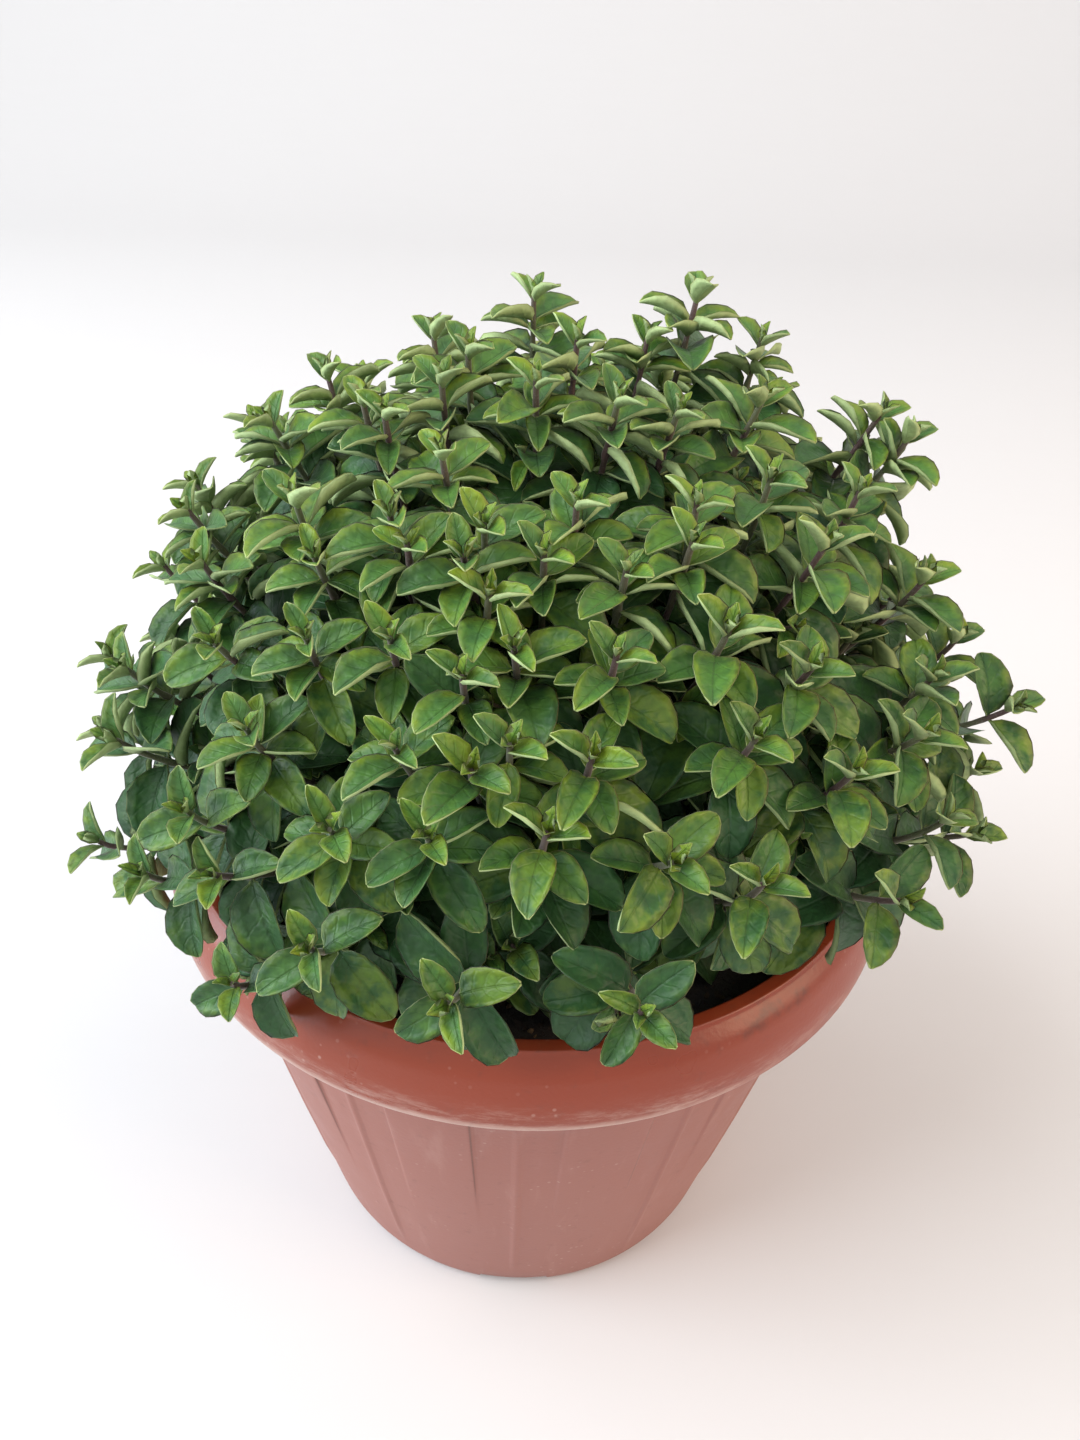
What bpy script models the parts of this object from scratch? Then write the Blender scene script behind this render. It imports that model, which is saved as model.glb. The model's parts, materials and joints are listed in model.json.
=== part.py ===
"""A bushy Greek oregano in a terracotta-coloured plastic pot, at real size.

Metres, +Z up. The origin is on the table under the middle of the pot, and the
photograph looks along +Y and down. Every shoot is one closed solid: a square
stem with its leaves in opposite pairs, each pair turned 90 degrees to the next.
"""
import math
import random

import bmesh
import bpy
from mathutils import Matrix, Vector, noise
from mathutils.bvhtree import BVHTree

for old in list(bpy.data.objects):
    bpy.data.objects.remove(old, do_unlink=True)

MM = 0.001
UP = Vector((0, 0, 1))
FRONT = -math.pi / 2

# Pot, a turned plastic shell with a hollow collar
POT_FOOT_RADIUS = 66.8 * MM
POT_BODY_TOP_RADIUS = 91.0 * MM
POT_BODY_HEIGHT = 126.0 * MM
COLLAR_RADIUS = 100.0 * MM
COLLAR_BOTTOM = 129.0 * MM
LIP_OUTER_RADIUS = 93.8 * MM
LIP_INNER_RADIUS = 90.2 * MM
LIP_HEIGHT = 149.0 * MM
WALL = 2.0 * MM
FLOOR_UNDERSIDE = 3.0 * MM
FLOOR_TOP = 5.0 * MM
FOOT_RING_INNER = 59.0 * MM
FOOT_RING_OUTER = 65.5 * MM
FOOT_NOTCHES = 4
FOOT_NOTCH_HALF = math.radians(9)
FOOT_NOTCH_RISE = 2.0 * MM
PANELS = 12
PANEL_HALF = math.radians(8)
PANEL_STEP = math.radians(0.8)
PANEL_DEPTH = 1.0 * MM
PANEL_FOOT = 22.0 * MM
PANEL_FADE_HEIGHT = 48.0 * MM
PANEL_TOP = 116.0 * MM
CREST_RISE = 0.6 * MM
DRAIN_HOLES = 4
DRAIN_RADIUS = 4.5 * MM
DRAIN_CIRCLE = 44.0 * MM

# Soil
GAP = 0.3 * MM
SOIL_TOP = 136.5 * MM
SOIL_ROUGHNESS = 1.6 * MM
ROOT_DEPTH = 9.0 * MM

# The dome that the shoot tips reach, and how the photograph was taken
DOME_CENTRE = Vector((1.0, 0.0, 147.0)) * MM
DOME_RADII = Vector((116.0, 112.0, 124.0)) * MM
EYE = Vector((0.0, -242.5, 343.4)) * MM
EYE_PITCH = math.radians(35.81)
EYE_YAW = math.radians(0.36)
EYE_ROLL = math.radians(2.40)
FOCAL_PIXELS = 1100.0
PICTURE_MIDDLE = (540.0, 720.0)

# Middle of each shoot tip that shows in the photograph, in pixels, from the top down
TIPS_SEEN = [
    (534, 292), (698, 294), (648, 336), (762, 338), (468, 350), (441, 378), (536, 380),
    (384, 412), (362, 399), (619, 398), (763, 400), (679, 409), (880, 415), (270, 420),
    (910, 437), (441, 452), (771, 478), (295, 500), (577, 502), (697, 502), (390, 515),
    (484, 524), (693, 541), (407, 543), (826, 544), (544, 553), (314, 556), (463, 556),
    (200, 560), (627, 569), (926, 578), (489, 594), (729, 631), (306, 638), (390, 638),
    (215, 643), (514, 648), (617, 655), (125, 668), (812, 668), (462, 676), (934, 676),
    (1013, 708), (246, 728), (923, 736), (756, 738), (116, 740), (510, 745), (395, 748),
    (592, 757), (471, 770), (853, 773), (187, 811), (329, 830), (547, 833), (428, 838),
    (672, 863), (214, 875), (763, 884), (449, 1003),
]
TIP_SPACING = 30.0 * MM
LOWEST_TIP = 158.0 * MM
LOWEST_ARCH = 30.0 * MM
SHOOTS = 45

# Stems and leaves. Each pair of leaves, from the tip down: length, angle from the
# stem in degrees, distance down the stem to the pair above it
STEM_FOOT_WIDTH = 2.3 * MM
STEM_TIP_WIDTH = 1.2 * MM
ROOT_CIRCLE = 76.0 * MM
LEAN_OUT = 0.55
LEAF_PAIRS = [
    (9.0 * MM, 24, 1.6 * MM),
    (13.5 * MM, 48, 3.6 * MM),
    (17.0 * MM, 68, 6.0 * MM),
    (20.0 * MM, 82, 11.5 * MM),
    (21.5 * MM, 93, 15.0 * MM),
]
NODE_HEIGHT = 0.9 * MM
LEAF_SLENDERNESS = 1.55
LEAF_THICKNESS = 0.85 * MM
LEAF_WIDEST = 0.42
LEAF_FOLD = math.radians(26)
LEAF_RECURVE = math.radians(38)
SEED = 11


def material(name, colour, roughness, metallic=0.0):
    made = bpy.data.materials.new(name)
    made.use_nodes = True
    shader = made.node_tree.nodes["Principled BSDF"]
    shader.inputs["Base Color"].default_value = (*colour, 1.0)
    shader.inputs["Roughness"].default_value = roughness
    shader.inputs["Metallic"].default_value = metallic
    return made


def finish(bm, name, finish_material):
    """Makes one named object of a closed mesh, with its faces pointing outwards."""
    bmesh.ops.recalc_face_normals(bm, faces=bm.faces)
    mesh = bpy.data.meshes.new(name)
    bm.to_mesh(mesh)
    bm.free()
    mesh.materials.append(finish_material)
    made = bpy.data.objects.new(name, mesh)
    bpy.context.collection.objects.link(made)
    return made


# Turned shapes

def even(count):
    return [2 * math.pi * i / count for i in range(count)]


def from_nearest(turn, count):
    """Angle from the nearest of count evenly spaced places, one of them at the front."""
    pitch = 2 * math.pi / count
    return abs((turn - FRONT + pitch / 2) % pitch - pitch / 2)


def columns_at(count, offsets, others=()):
    """Angles of columns: the same few offsets from each of count evenly spaced places."""
    places = [FRONT + 2 * math.pi * place / count for place in range(count)]
    columns = [place + offset for place in places for offset in offsets]
    return sorted({round(turn % (2 * math.pi), 6) for turn in columns + list(others)})


def foot_rise(turn):
    """Height of the foot ring above the table: 0, or the notch's height inside a notch."""
    return FOOT_NOTCH_RISE if from_nearest(turn, FOOT_NOTCHES) < FOOT_NOTCH_HALF + 0.001 else 0.0


def panel_inset(turn, height):
    """How far the body's surface lies inside its cone at one place."""
    off_middle = from_nearest(turn, PANELS)
    inset = 0.0
    if off_middle < PANEL_HALF - PANEL_STEP / 2:
        inset = PANEL_DEPTH * (height - PANEL_FADE_HEIGHT) / (PANEL_TOP - PANEL_FADE_HEIGHT)
        inset = max(inset, 0.0)
    if off_middle < PANEL_STEP:
        inset -= CREST_RISE
    return inset


def body_radius(height):
    return POT_FOOT_RADIUS + (POT_BODY_TOP_RADIUS - POT_FOOT_RADIUS) * height / POT_BODY_HEIGHT


def inner_radius(height):
    """Radius of the inner wall: a cone up to the body's top, then nearly upright to the lip."""
    knee = POT_BODY_TOP_RADIUS - WALL
    if height <= POT_BODY_HEIGHT:
        return body_radius(height) - WALL
    share = (height - POT_BODY_HEIGHT) / (LIP_HEIGHT - POT_BODY_HEIGHT)
    return knee + (LIP_INNER_RADIUS - knee) * share


def ring(bm, columns, radius, height):
    """One turned ring, as pairs of angle and vertex. Radius and height may follow the angle."""
    made = []
    for turn in columns:
        r = radius(turn) if callable(radius) else radius
        z = height(turn) if callable(height) else height
        made.append((turn, bm.verts.new((r * math.cos(turn), r * math.sin(turn), z))))
    return made


def band(bm, lower, upper):
    """Joins two rings, whose columns may differ, with triangles."""
    i = j = 0
    while i < len(lower) or j < len(upper):
        a_now = lower[i % len(lower)]
        b_now = upper[j % len(upper)]
        a_next = lower[(i + 1) % len(lower)]
        b_next = upper[(j + 1) % len(upper)]
        a_turn = a_next[0] + (2 * math.pi if i + 1 >= len(lower) else 0)
        b_turn = b_next[0] + (2 * math.pi if j + 1 >= len(upper) else 0)
        if j == len(upper) or (i < len(lower) and a_turn <= b_turn):
            bm.faces.new((a_now[1], a_next[1], b_now[1]))
            i += 1
        else:
            bm.faces.new((a_now[1], b_next[1], b_now[1]))
            j += 1


def fan(bm, edge, height):
    """Closes a ring with a fan to a vertex on the axis."""
    middle = bm.verts.new((0, 0, height))
    for k in range(len(edge)):
        bm.faces.new((edge[k][1], edge[(k + 1) % len(edge)][1], middle))


NOTCH_EDGES = (-FOOT_NOTCH_HALF - 0.02, -FOOT_NOTCH_HALF, FOOT_NOTCH_HALF, FOOT_NOTCH_HALF + 0.02)
PANEL_EDGES = (-PANEL_HALF, PANEL_STEP - PANEL_HALF, 0.0, PANEL_HALF - PANEL_STEP, PANEL_HALF)
FOOT_COLUMNS = columns_at(FOOT_NOTCHES, NOTCH_EDGES, even(36))
BODY_COLUMNS = columns_at(PANELS, PANEL_EDGES)
COLLAR_COLUMNS = even(40)
INNER_COLUMNS = even(30)


def pot_rings(bm):
    """The pot's whole profile, from the middle of its underside round to its inner floor."""
    rings = [
        ring(bm, even(24), FOOT_RING_INNER - 1.0 * MM, FLOOR_UNDERSIDE),
        ring(bm, FOOT_COLUMNS, FOOT_RING_INNER, foot_rise),
        ring(bm, FOOT_COLUMNS, FOOT_RING_OUTER, foot_rise),
        ring(bm, FOOT_COLUMNS, body_radius(3.0 * MM), 3.0 * MM),
    ]
    for height in (PANEL_FOOT, PANEL_FADE_HEIGHT, PANEL_TOP):
        def radius(turn, level=height):
            return body_radius(level) - panel_inset(turn, level)
        rings.append(ring(bm, BODY_COLUMNS, radius, height))
    body_top = PANEL_TOP + 2.5 * MM
    rings.append(ring(bm, BODY_COLUMNS, body_radius(body_top), body_top))
    skirt_and_lip = [
        (body_radius(POT_BODY_HEIGHT), POT_BODY_HEIGHT),
        (LIP_INNER_RADIUS + WALL, LIP_HEIGHT - 5.5 * MM),
        (COLLAR_RADIUS - 2.6 * MM, COLLAR_BOTTOM + 2.2 * MM),
        (COLLAR_RADIUS - 2.0 * MM, COLLAR_BOTTOM + 0.3 * MM),
        (COLLAR_RADIUS - 0.6 * MM, COLLAR_BOTTOM),
        (COLLAR_RADIUS, COLLAR_BOTTOM + 1.8 * MM),
        (COLLAR_RADIUS - 0.6 * MM, COLLAR_BOTTOM + 9.5 * MM),
        (COLLAR_RADIUS - 2.6 * MM, COLLAR_BOTTOM + 15.4 * MM),
        (COLLAR_RADIUS - 5.3 * MM, LIP_HEIGHT - 1.4 * MM),
        (LIP_OUTER_RADIUS, LIP_HEIGHT - 0.5 * MM),
        (LIP_INNER_RADIUS + 0.6 * MM, LIP_HEIGHT),
    ]
    rings += [ring(bm, COLLAR_COLUMNS, radius, height) for radius, height in skirt_and_lip]
    inner_wall = [LIP_HEIGHT - 1.0 * MM, POT_BODY_HEIGHT, FLOOR_TOP + 1.5 * MM]
    rings += [ring(bm, INNER_COLUMNS, inner_radius(height), height) for height in inner_wall]
    rings.append(ring(bm, even(24), inner_radius(FLOOR_TOP) - 2.0 * MM, FLOOR_TOP))
    return rings


def make_pot(finish_material):
    bm = bmesh.new()
    rings = pot_rings(bm)
    fan(bm, rings[0], FLOOR_UNDERSIDE)
    for lower, upper in zip(rings, rings[1:]):
        band(bm, lower, upper)
    fan(bm, rings[-1], FLOOR_TOP)
    pot = finish(bm, "pot", finish_material)
    cut(pot, drain_cutters())
    pot.data.shade_smooth()
    pot.data.set_sharp_from_angle(angle=math.radians(35))
    return pot


def drain_cutters():
    cutters = []
    for hole in range(DRAIN_HOLES):
        turn = 2 * math.pi * hole / DRAIN_HOLES
        bm = bmesh.new()
        bmesh.ops.create_cone(
            bm, segments=8, radius1=DRAIN_RADIUS, radius2=DRAIN_RADIUS,
            depth=20 * MM, cap_ends=True, cap_tris=False,
            matrix=Matrix.Translation((DRAIN_CIRCLE * math.cos(turn), DRAIN_CIRCLE * math.sin(turn), 0)),
        )
        cutters.append(finish(bm, f"drain_cutter_{hole}", POT_PLASTIC))
    return cutters


def cut(target, cutters):
    """Cuts holes with one Boolean on a collection, applies it and removes the cutters."""
    tools = bpy.data.collections.new("cutters")
    for cutter in cutters:
        tools.objects.link(cutter)
    boolean = target.modifiers.new("holes", "BOOLEAN")
    boolean.operation = "DIFFERENCE"
    boolean.operand_type = "COLLECTION"
    boolean.collection = tools
    boolean.solver = "EXACT"
    shape = target.evaluated_get(bpy.context.evaluated_depsgraph_get())
    mesh = bpy.data.meshes.new_from_object(shape)
    target.modifiers.clear()
    target.data = mesh
    for cutter in cutters:
        bpy.data.objects.remove(cutter, do_unlink=True)
    bpy.data.collections.remove(tools)


# Where the shoots stand

def view_ray(pixel):
    """Direction from the eye through a pixel of the photograph."""
    forward = Vector((
        math.sin(EYE_YAW) * math.cos(EYE_PITCH),
        math.cos(EYE_YAW) * math.cos(EYE_PITCH),
        -math.sin(EYE_PITCH),
    ))
    level_right = forward.cross(UP).normalized()
    level_up = level_right.cross(forward)
    right = math.cos(EYE_ROLL) * level_right + math.sin(EYE_ROLL) * level_up
    up = -math.sin(EYE_ROLL) * level_right + math.cos(EYE_ROLL) * level_up
    x = (pixel[0] - PICTURE_MIDDLE[0]) / FOCAL_PIXELS
    y = (PICTURE_MIDDLE[1] - pixel[1]) / FOCAL_PIXELS
    return (forward + x * right + y * up).normalized()


def on_dome(pixel):
    """Where the view through a pixel meets the dome, or passes nearest to it."""
    ray = view_ray(pixel)
    start = Vector((EYE[i] - DOME_CENTRE[i]) / DOME_RADII[i] for i in range(3))
    step = Vector(ray[i] / DOME_RADII[i] for i in range(3))
    nearest = -start.dot(step) / step.dot(step)
    closest = start + nearest * step
    if closest.length < 1.0:
        nearest -= math.sqrt((1.0 - closest.length_squared) / step.dot(step))
    return EYE + nearest * ray


def golden_spiral(count):
    """Evenly spread points over the dome, from its top down."""
    points = []
    for i in range(count):
        height = 1.0 - (i + 0.5) / count
        turn = i * math.pi * (3.0 - math.sqrt(5.0))
        flat = math.sqrt(1.0 - height * height)
        unit = (flat * math.cos(turn), flat * math.sin(turn), height)
        points.append(Vector(DOME_CENTRE[k] + unit[k] * DOME_RADII[k] for k in range(3)))
    return points


def all_tips():
    """The tips that the photograph shows, and an even spread where it shows none."""
    tips = [on_dome(pixel) for pixel in TIPS_SEEN]
    for tip in tips:
        tip.z = max(tip.z, LOWEST_TIP)
    for point in golden_spiral(150):
        if point.z > LOWEST_TIP and min((point - tip).length for tip in tips) > TIP_SPACING:
            tips.append(point)
    return tips


def spread(tips, count):
    """Picks the most evenly spread tips, and the outermost ones first."""
    chosen = sorted(tips, key=lambda tip: tip.x)[:1]
    while len(chosen) < count:
        rest = [tip for tip in tips if tip not in chosen]
        chosen.append(max(rest, key=lambda tip: min((tip - other).length for other in chosen)))
    return chosen


class Shoot:
    """One leafy stem: its centre line from the root to the tip, and its leaf directions."""

    def __init__(self, name, tip, rng):
        self.name = name
        self.tip = tip
        self.vigour = rng.uniform(0.9, 1.08)
        unit = Vector((tip[i] - DOME_CENTRE[i]) / DOME_RADII[i] for i in range(3)).normalized()
        outward = Vector(unit[i] / DOME_RADII[i] for i in range(3)).normalized()
        sway = Vector((rng.uniform(-1, 1), rng.uniform(-1, 1), 0)) * 0.12
        self.axis = (LEAN_OUT * outward + (1 - LEAN_OUT) * UP + sway).normalized()
        polar = math.acos(max(-1.0, min(1.0, unit.z)))
        flat = Vector((unit.x, unit.y, 0))
        flat = flat.normalized() if flat.length > 1e-4 else Vector((1, 0, 0))
        self.root = flat * ROOT_CIRCLE * min(polar / math.radians(95), 1.0)
        self.root.z = SOIL_TOP
        uphill = UP - self.axis * self.axis.dot(UP)
        if uphill.length < 0.25:
            uphill = Vector((0, 1, 0)) - self.axis * self.axis.y
        uphill.normalize()
        turn = math.radians(45 + rng.uniform(-14, 14))
        self.leaf_side = Matrix.Rotation(turn, 3, self.axis) @ uphill
        self.leaves = []
        self.make_line()

    def make_line(self):
        """Points down the stem, from the tip to the root's end in the soil."""
        foot = self.root + UP * 3 * MM
        reach = (self.tip - foot).length
        bend_low = foot + UP * max(reach * 0.42, LOWEST_ARCH)
        bend_high = self.tip - self.axis * reach * 0.36
        self.curve = (self.tip, bend_high, bend_low, foot)

    def at(self, share):
        """Centre line: 0 at the tip, 1 where the stem leaves the soil."""
        a, b, c, d = self.curve
        rest = 1 - share
        return rest**3 * a + 3 * rest**2 * share * b + 3 * rest * share**2 * c + share**3 * d

    def down_axis(self, share):
        before = self.at(max(share - 0.01, 0.0))
        after = self.at(min(share + 0.01, 1.0))
        return (after - before).normalized()

    def share_at(self, distance):
        """The share of the centre line that lies the given distance from the tip."""
        steps = 200
        walked = 0.0
        last = self.at(0.0)
        for k in range(1, steps + 1):
            here = self.at(k / steps)
            walked += (here - last).length
            last = here
            if walked >= distance:
                return k / steps
        return 1.0


# Leaves

def half_width(u):
    """Half of the blade's width as a share of its greatest: 0 at both ends, 1 where widest."""
    if u <= 0.0 or u >= 1.0:
        return 0.0
    rise = 0.75
    fall = rise * (1 - LEAF_WIDEST) / LEAF_WIDEST
    return (u / LEAF_WIDEST) ** rise * ((1 - u) / (1 - LEAF_WIDEST)) ** fall


def blade_point(leaf, u, side, lift):
    """A point of the folded, arched blade.

    u runs from the stem to the leaf's tip, side is -1, 0 or 1 across it, and lift
    is the height above its middle surface.
    """
    out, across, face = leaf["out"], leaf["across"], leaf["face"]
    length = leaf["length"]
    bend = leaf["recurve"]
    run = length * math.sin(bend * u) / bend
    drop = length * (1 - math.cos(bend * u)) / bend
    normal = face * math.cos(bend * u) + out * math.sin(bend * u)
    fold = leaf["fold"]
    wide = half_width(u) * length / LEAF_SLENDERNESS / 2 * leaf["plump"]
    point = leaf["root"] + out * run - face * drop
    point = point + across * side * wide * math.cos(fold) + normal * wide * abs(side) * math.sin(fold)
    slope = normal * math.cos(fold * 0.7) - across * side * math.sin(fold * 0.7)
    return point + (slope if side else normal) * lift


def blade_stations(leaf):
    """Stations down each side of the blade: one on a small leaf, two on a large one."""
    return (0.42,) if leaf["small"] else (0.24, 0.64)


def blade_solid(leaf, lower_edge, upper_edge, grow=0.0):
    """The closed loop of the blade, as points and faces.

    The first four points are the root's corners on the stem: lower left, lower
    right, upper left, upper right. The root's own face is left open.
    """
    stations = blade_stations(leaf)
    lift = LEAF_THICKNESS / 2 + grow
    points = [lower_edge[0], lower_edge[1], upper_edge[0], upper_edge[1]]
    rim = [(u, 1) for u in stations] + [(1.0, 0)] + [(u, -1) for u in reversed(stations)]
    top = [3]
    under = [1]
    for u, side in rim:
        under.append(len(points))
        points.append(blade_point(leaf, u, side, -lift))
        top.append(len(points))
        points.append(blade_point(leaf, u, side, lift))
    top.append(2)
    under.append(0)
    rib_under = len(points)
    points.append(blade_point(leaf, 0.45, 0, -lift))
    rib_top = len(points)
    points.append(blade_point(leaf, 0.45, 0, lift))
    faces = [(top[-1], top[0], rib_top), (under[0], under[-1], rib_under)]
    for k in range(len(top) - 1):
        faces.append((top[k], top[k + 1], rib_top))
        faces.append((under[k + 1], under[k], rib_under))
        faces.append((top[k], under[k], under[k + 1], top[k + 1]))
    return points, faces


def tree_of(points, faces):
    return BVHTree.FromPolygons([tuple(point) for point in points], faces, epsilon=0.0)


class Crowd:
    """Everything that stands already, so that a new leaf can be bent clear of it."""

    def __init__(self):
        self.things = []

    def add(self, owner, points, faces):
        middle = sum(points, Vector()) / len(points)
        reach = max((point - middle).length for point in points)
        self.things.append((owner, middle, reach, tree_of(points, faces)))

    def touches(self, points, faces, skip=None):
        middle = sum(points, Vector()) / len(points)
        reach = max((point - middle).length for point in points)
        tree = None
        for owner, other_middle, other_reach, other_tree in self.things:
            if owner == skip or (middle - other_middle).length > reach + other_reach:
                continue
            tree = tree or tree_of(points, faces)
            if tree.overlap(other_tree):
                return True
        return False


def stem_rings(shoot):
    """Rings of the square stem from the tip down, and which band between them is a node.

    Each ring is its four corners; side k of a ring runs from corner k to k + 1.
    """
    total = 0.0
    marks = [(0.0, False)]
    for length, _, below in LEAF_PAIRS:
        total += below * shoot.vigour
        marks.append((total, True))
        total += NODE_HEIGHT
        marks.append((total, False))
    whole = sum((shoot.at((k + 1) / 60) - shoot.at(k / 60)).length for k in range(60))
    rest = whole - total
    marks += [(total + rest * 0.36, False), (total + rest * 0.72, False)]
    rings = []
    side = shoot.leaf_side
    for distance, _ in marks:
        share = shoot.share_at(distance) if distance else 0.0
        rings.append((shoot.at(share), -shoot.down_axis(share), distance / whole))
    foot = shoot.root + UP * 3 * MM
    rings.append((foot, UP, 0.97))
    rings.append((shoot.root - UP * ROOT_DEPTH, UP, 1.0))
    made = []
    for centre, along, share in rings:
        side = (side - along * side.dot(along)).normalized()
        other = along.cross(side)
        wide = STEM_TIP_WIDTH + (STEM_FOOT_WIDTH - STEM_TIP_WIDTH) * share
        corners = [
            centre + wide / 2 * (side - other),
            centre + wide / 2 * (side + other),
            centre + wide / 2 * (-side + other),
            centre + wide / 2 * (-side - other),
        ]
        made.append({"corners": corners, "centre": centre, "along": along, "sides": (side, other, -side, -other)})
    nodes = [k for k, (_, is_node) in enumerate(marks) if is_node]
    return made, nodes


def tube_faces(count, first=0):
    """Faces of a square tube of count rings, with its two ends."""
    faces = [(first, first + 1, first + 2, first + 3)]
    for k in range(count - 1):
        for side in range(4):
            a = first + 4 * k
            faces.append((a + side, a + (side + 1) % 4, a + 4 + (side + 1) % 4, a + 4 + side))
    last = first + 4 * (count - 1)
    faces.append((last, last + 1, last + 2, last + 3))
    return faces


# Ways to bend a leaf clear of its neighbours: turn about the stem, change of its
# angle from the stem, both in degrees, and size
BENDS = [
    (0, 0, 1.0), (10, 0, 1.0), (-10, 0, 1.0), (0, -12, 1.0), (0, 12, 1.0), (16, -8, 0.97),
    (-16, -8, 0.97), (18, 10, 0.95), (-18, 10, 0.95), (0, -24, 0.92), (0, 24, 0.92),
    (26, -16, 0.9), (-26, -16, 0.9), (26, 18, 0.88), (-26, 18, 0.88), (0, -34, 0.85),
    (12, -30, 0.78), (-12, -30, 0.78), (0, 0, 0.72), (15, 12, 0.7), (-15, 12, 0.7),
]


def leaf_at(shoot, ring_above, ring_below, side, pair, bend, rng_values):
    """The blade that grows from one side of a node of the stem."""
    turn, tilt, size = bend
    length, angle, _ = LEAF_PAIRS[pair]
    wobble_turn, wobble_tilt, wobble_size, curl = rng_values
    along = ring_above["along"]
    out_flat = Matrix.Rotation(math.radians(turn + wobble_turn), 3, along) @ ring_above["sides"][side]
    slant = math.radians(angle + tilt + wobble_tilt)
    out = (along * math.cos(slant) + out_flat * math.sin(slant)).normalized()
    face = (along * math.sin(slant) - out_flat * math.cos(slant)).normalized()
    middle = (ring_above["centre"] + ring_below["centre"]) / 2
    corners = [ring_above["corners"][side], ring_above["corners"][(side + 1) % 4]]
    half = (corners[1] - corners[0]).length / 2
    young = 1.0 - pair / (len(LEAF_PAIRS) - 1)
    return {
        "root": middle + ring_above["sides"][side] * half,
        "out": out,
        "across": face.cross(out).normalized(),
        "face": face,
        "length": length * shoot.vigour * wobble_size * size,
        "fold": LEAF_FOLD * (1.0 + 0.45 * young),
        "recurve": max(LEAF_RECURVE * (1.0 - 0.75 * young) * curl, 0.02),
        "plump": 1.0 - 0.12 * young,
        "small": pair < 2,
    }


def root_edges(leaf, ring_above, ring_below, side):
    """The root's corners on the stem, left to right across the leaf: lower and upper edge."""
    upper = [ring_above["corners"][side], ring_above["corners"][(side + 1) % 4]]
    lower = [ring_below["corners"][side], ring_below["corners"][(side + 1) % 4]]
    if (upper[1] - upper[0]).dot(leaf["across"]) < 0:
        upper.reverse()
        lower.reverse()
    return lower, upper


def grow_leaves(shoots, crowd):
    """Grows the pairs of all shoots from their tips down, each leaf bent clear of the rest."""
    dropped = 0
    for pair in range(len(LEAF_PAIRS)):
        for shoot in shoots:
            for half in (0, 1):
                node = shoot.nodes[pair]
                above, below = shoot.rings[node], shoot.rings[node + 1]
                side = pair % 2 + 2 * half
                rng = random.Random(f"{SEED} {shoot.name} {pair} {half}")
                loose = 0.3 + 0.175 * pair
                values = (
                    rng.uniform(-8, 8) * loose, rng.uniform(-9, 9) * loose,
                    rng.uniform(0.92, 1.06), rng.uniform(0.5, 1.3),
                )
                for bend in BENDS:
                    leaf = leaf_at(shoot, above, below, side, pair, bend, values)
                    lower, upper = root_edges(leaf, above, below, side)
                    points, faces = blade_solid(leaf, lower, upper, grow=0.35 * MM)
                    if crowd.touches(points, faces, skip=shoot.name):
                        continue
                    if touches_own(shoot, node, side, leaf):
                        continue
                    shoot.leaves.append((node, side, leaf))
                    crowd.add(shoot.name, points, faces)
                    break
                else:
                    dropped += 1
    return dropped


def touches_own(shoot, node, side, leaf):
    """Whether a leaf would cross another leaf or the stem of its own shoot."""
    edges = root_edges(leaf, shoot.rings[node], shoot.rings[node + 1], side)
    tree = tree_of(*blade_solid(leaf, *edges))
    for other_node, other_side, other in shoot.leaves:
        above, below = shoot.rings[other_node], shoot.rings[other_node + 1]
        if tree.overlap(tree_of(*blade_solid(other, *root_edges(other, above, below, other_side)))):
            return True
    corners = [corner for ring_made in shoot.rings for corner in ring_made["corners"]]
    stem_faces = tube_faces(len(shoot.rings))
    own = {4 * row + (side + k) % 4 for row in (node, node + 1) for k in (0, 1)}
    hits = tree.overlap(tree_of(corners, stem_faces))
    return any(not own & set(stem_faces[stem_face]) for _, stem_face in hits)


def make_shoot(shoot, finish_material):
    """One closed mesh: the square stem, with each leaf drawn out of its side of a node."""
    bm = bmesh.new()
    corners = [[bm.verts.new(corner) for corner in ring_made["corners"]] for ring_made in shoot.rings]
    grown = {(node, side): leaf for node, side, leaf in shoot.leaves}
    bm.faces.new(corners[0])
    bm.faces.new(corners[-1])
    for k in range(len(corners) - 1):
        for side in range(4):
            above = corners[k][side], corners[k][(side + 1) % 4]
            below = corners[k + 1][side], corners[k + 1][(side + 1) % 4]
            if (k, side) in grown:
                draw_leaf(bm, grown[k, side], above, below)
            else:
                bm.faces.new((above[0], above[1], below[1], below[0]))
    bmesh.ops.triangulate(bm, faces=bm.faces, quad_method="SHORT_EDGE")
    return finish(bm, shoot.name, finish_material)


def draw_leaf(bm, leaf, above, below):
    if (above[1].co - above[0].co).dot(leaf["across"]) < 0:
        above = above[::-1]
        below = below[::-1]
    points, faces = blade_solid(leaf, [v.co for v in below], [v.co for v in above])
    verts = [below[0], below[1], above[0], above[1]]
    verts += [bm.verts.new(point) for point in points[4:]]
    for face in faces:
        bm.faces.new([verts[v] for v in face])


def keep_apart(shoots):
    """Moves the roots of stems that would pass too near each other."""
    nearest = 5.0 * MM
    for _ in range(60):
        moved = False
        for i, one in enumerate(shoots):
            for other in shoots[i + 1:]:
                for share in (0.25, 0.4, 0.55, 0.7, 0.85, 1.0):
                    here = one.at(share)
                    for offset in (-0.08, -0.04, 0.0, 0.04, 0.08):
                        apart = here - other.at(min(share + offset, 1.0))
                        if apart.length < nearest:
                            push = Vector((apart.x, apart.y, 0))
                            push = push.normalized() * 0.6 * MM if push.length else Vector((0.6 * MM, 0, 0))
                            one.root += push
                            other.root -= push
                            one.make_line()
                            other.make_line()
                            moved = True
                            here = one.at(share)
        if not moved:
            break


# Soil

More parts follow.
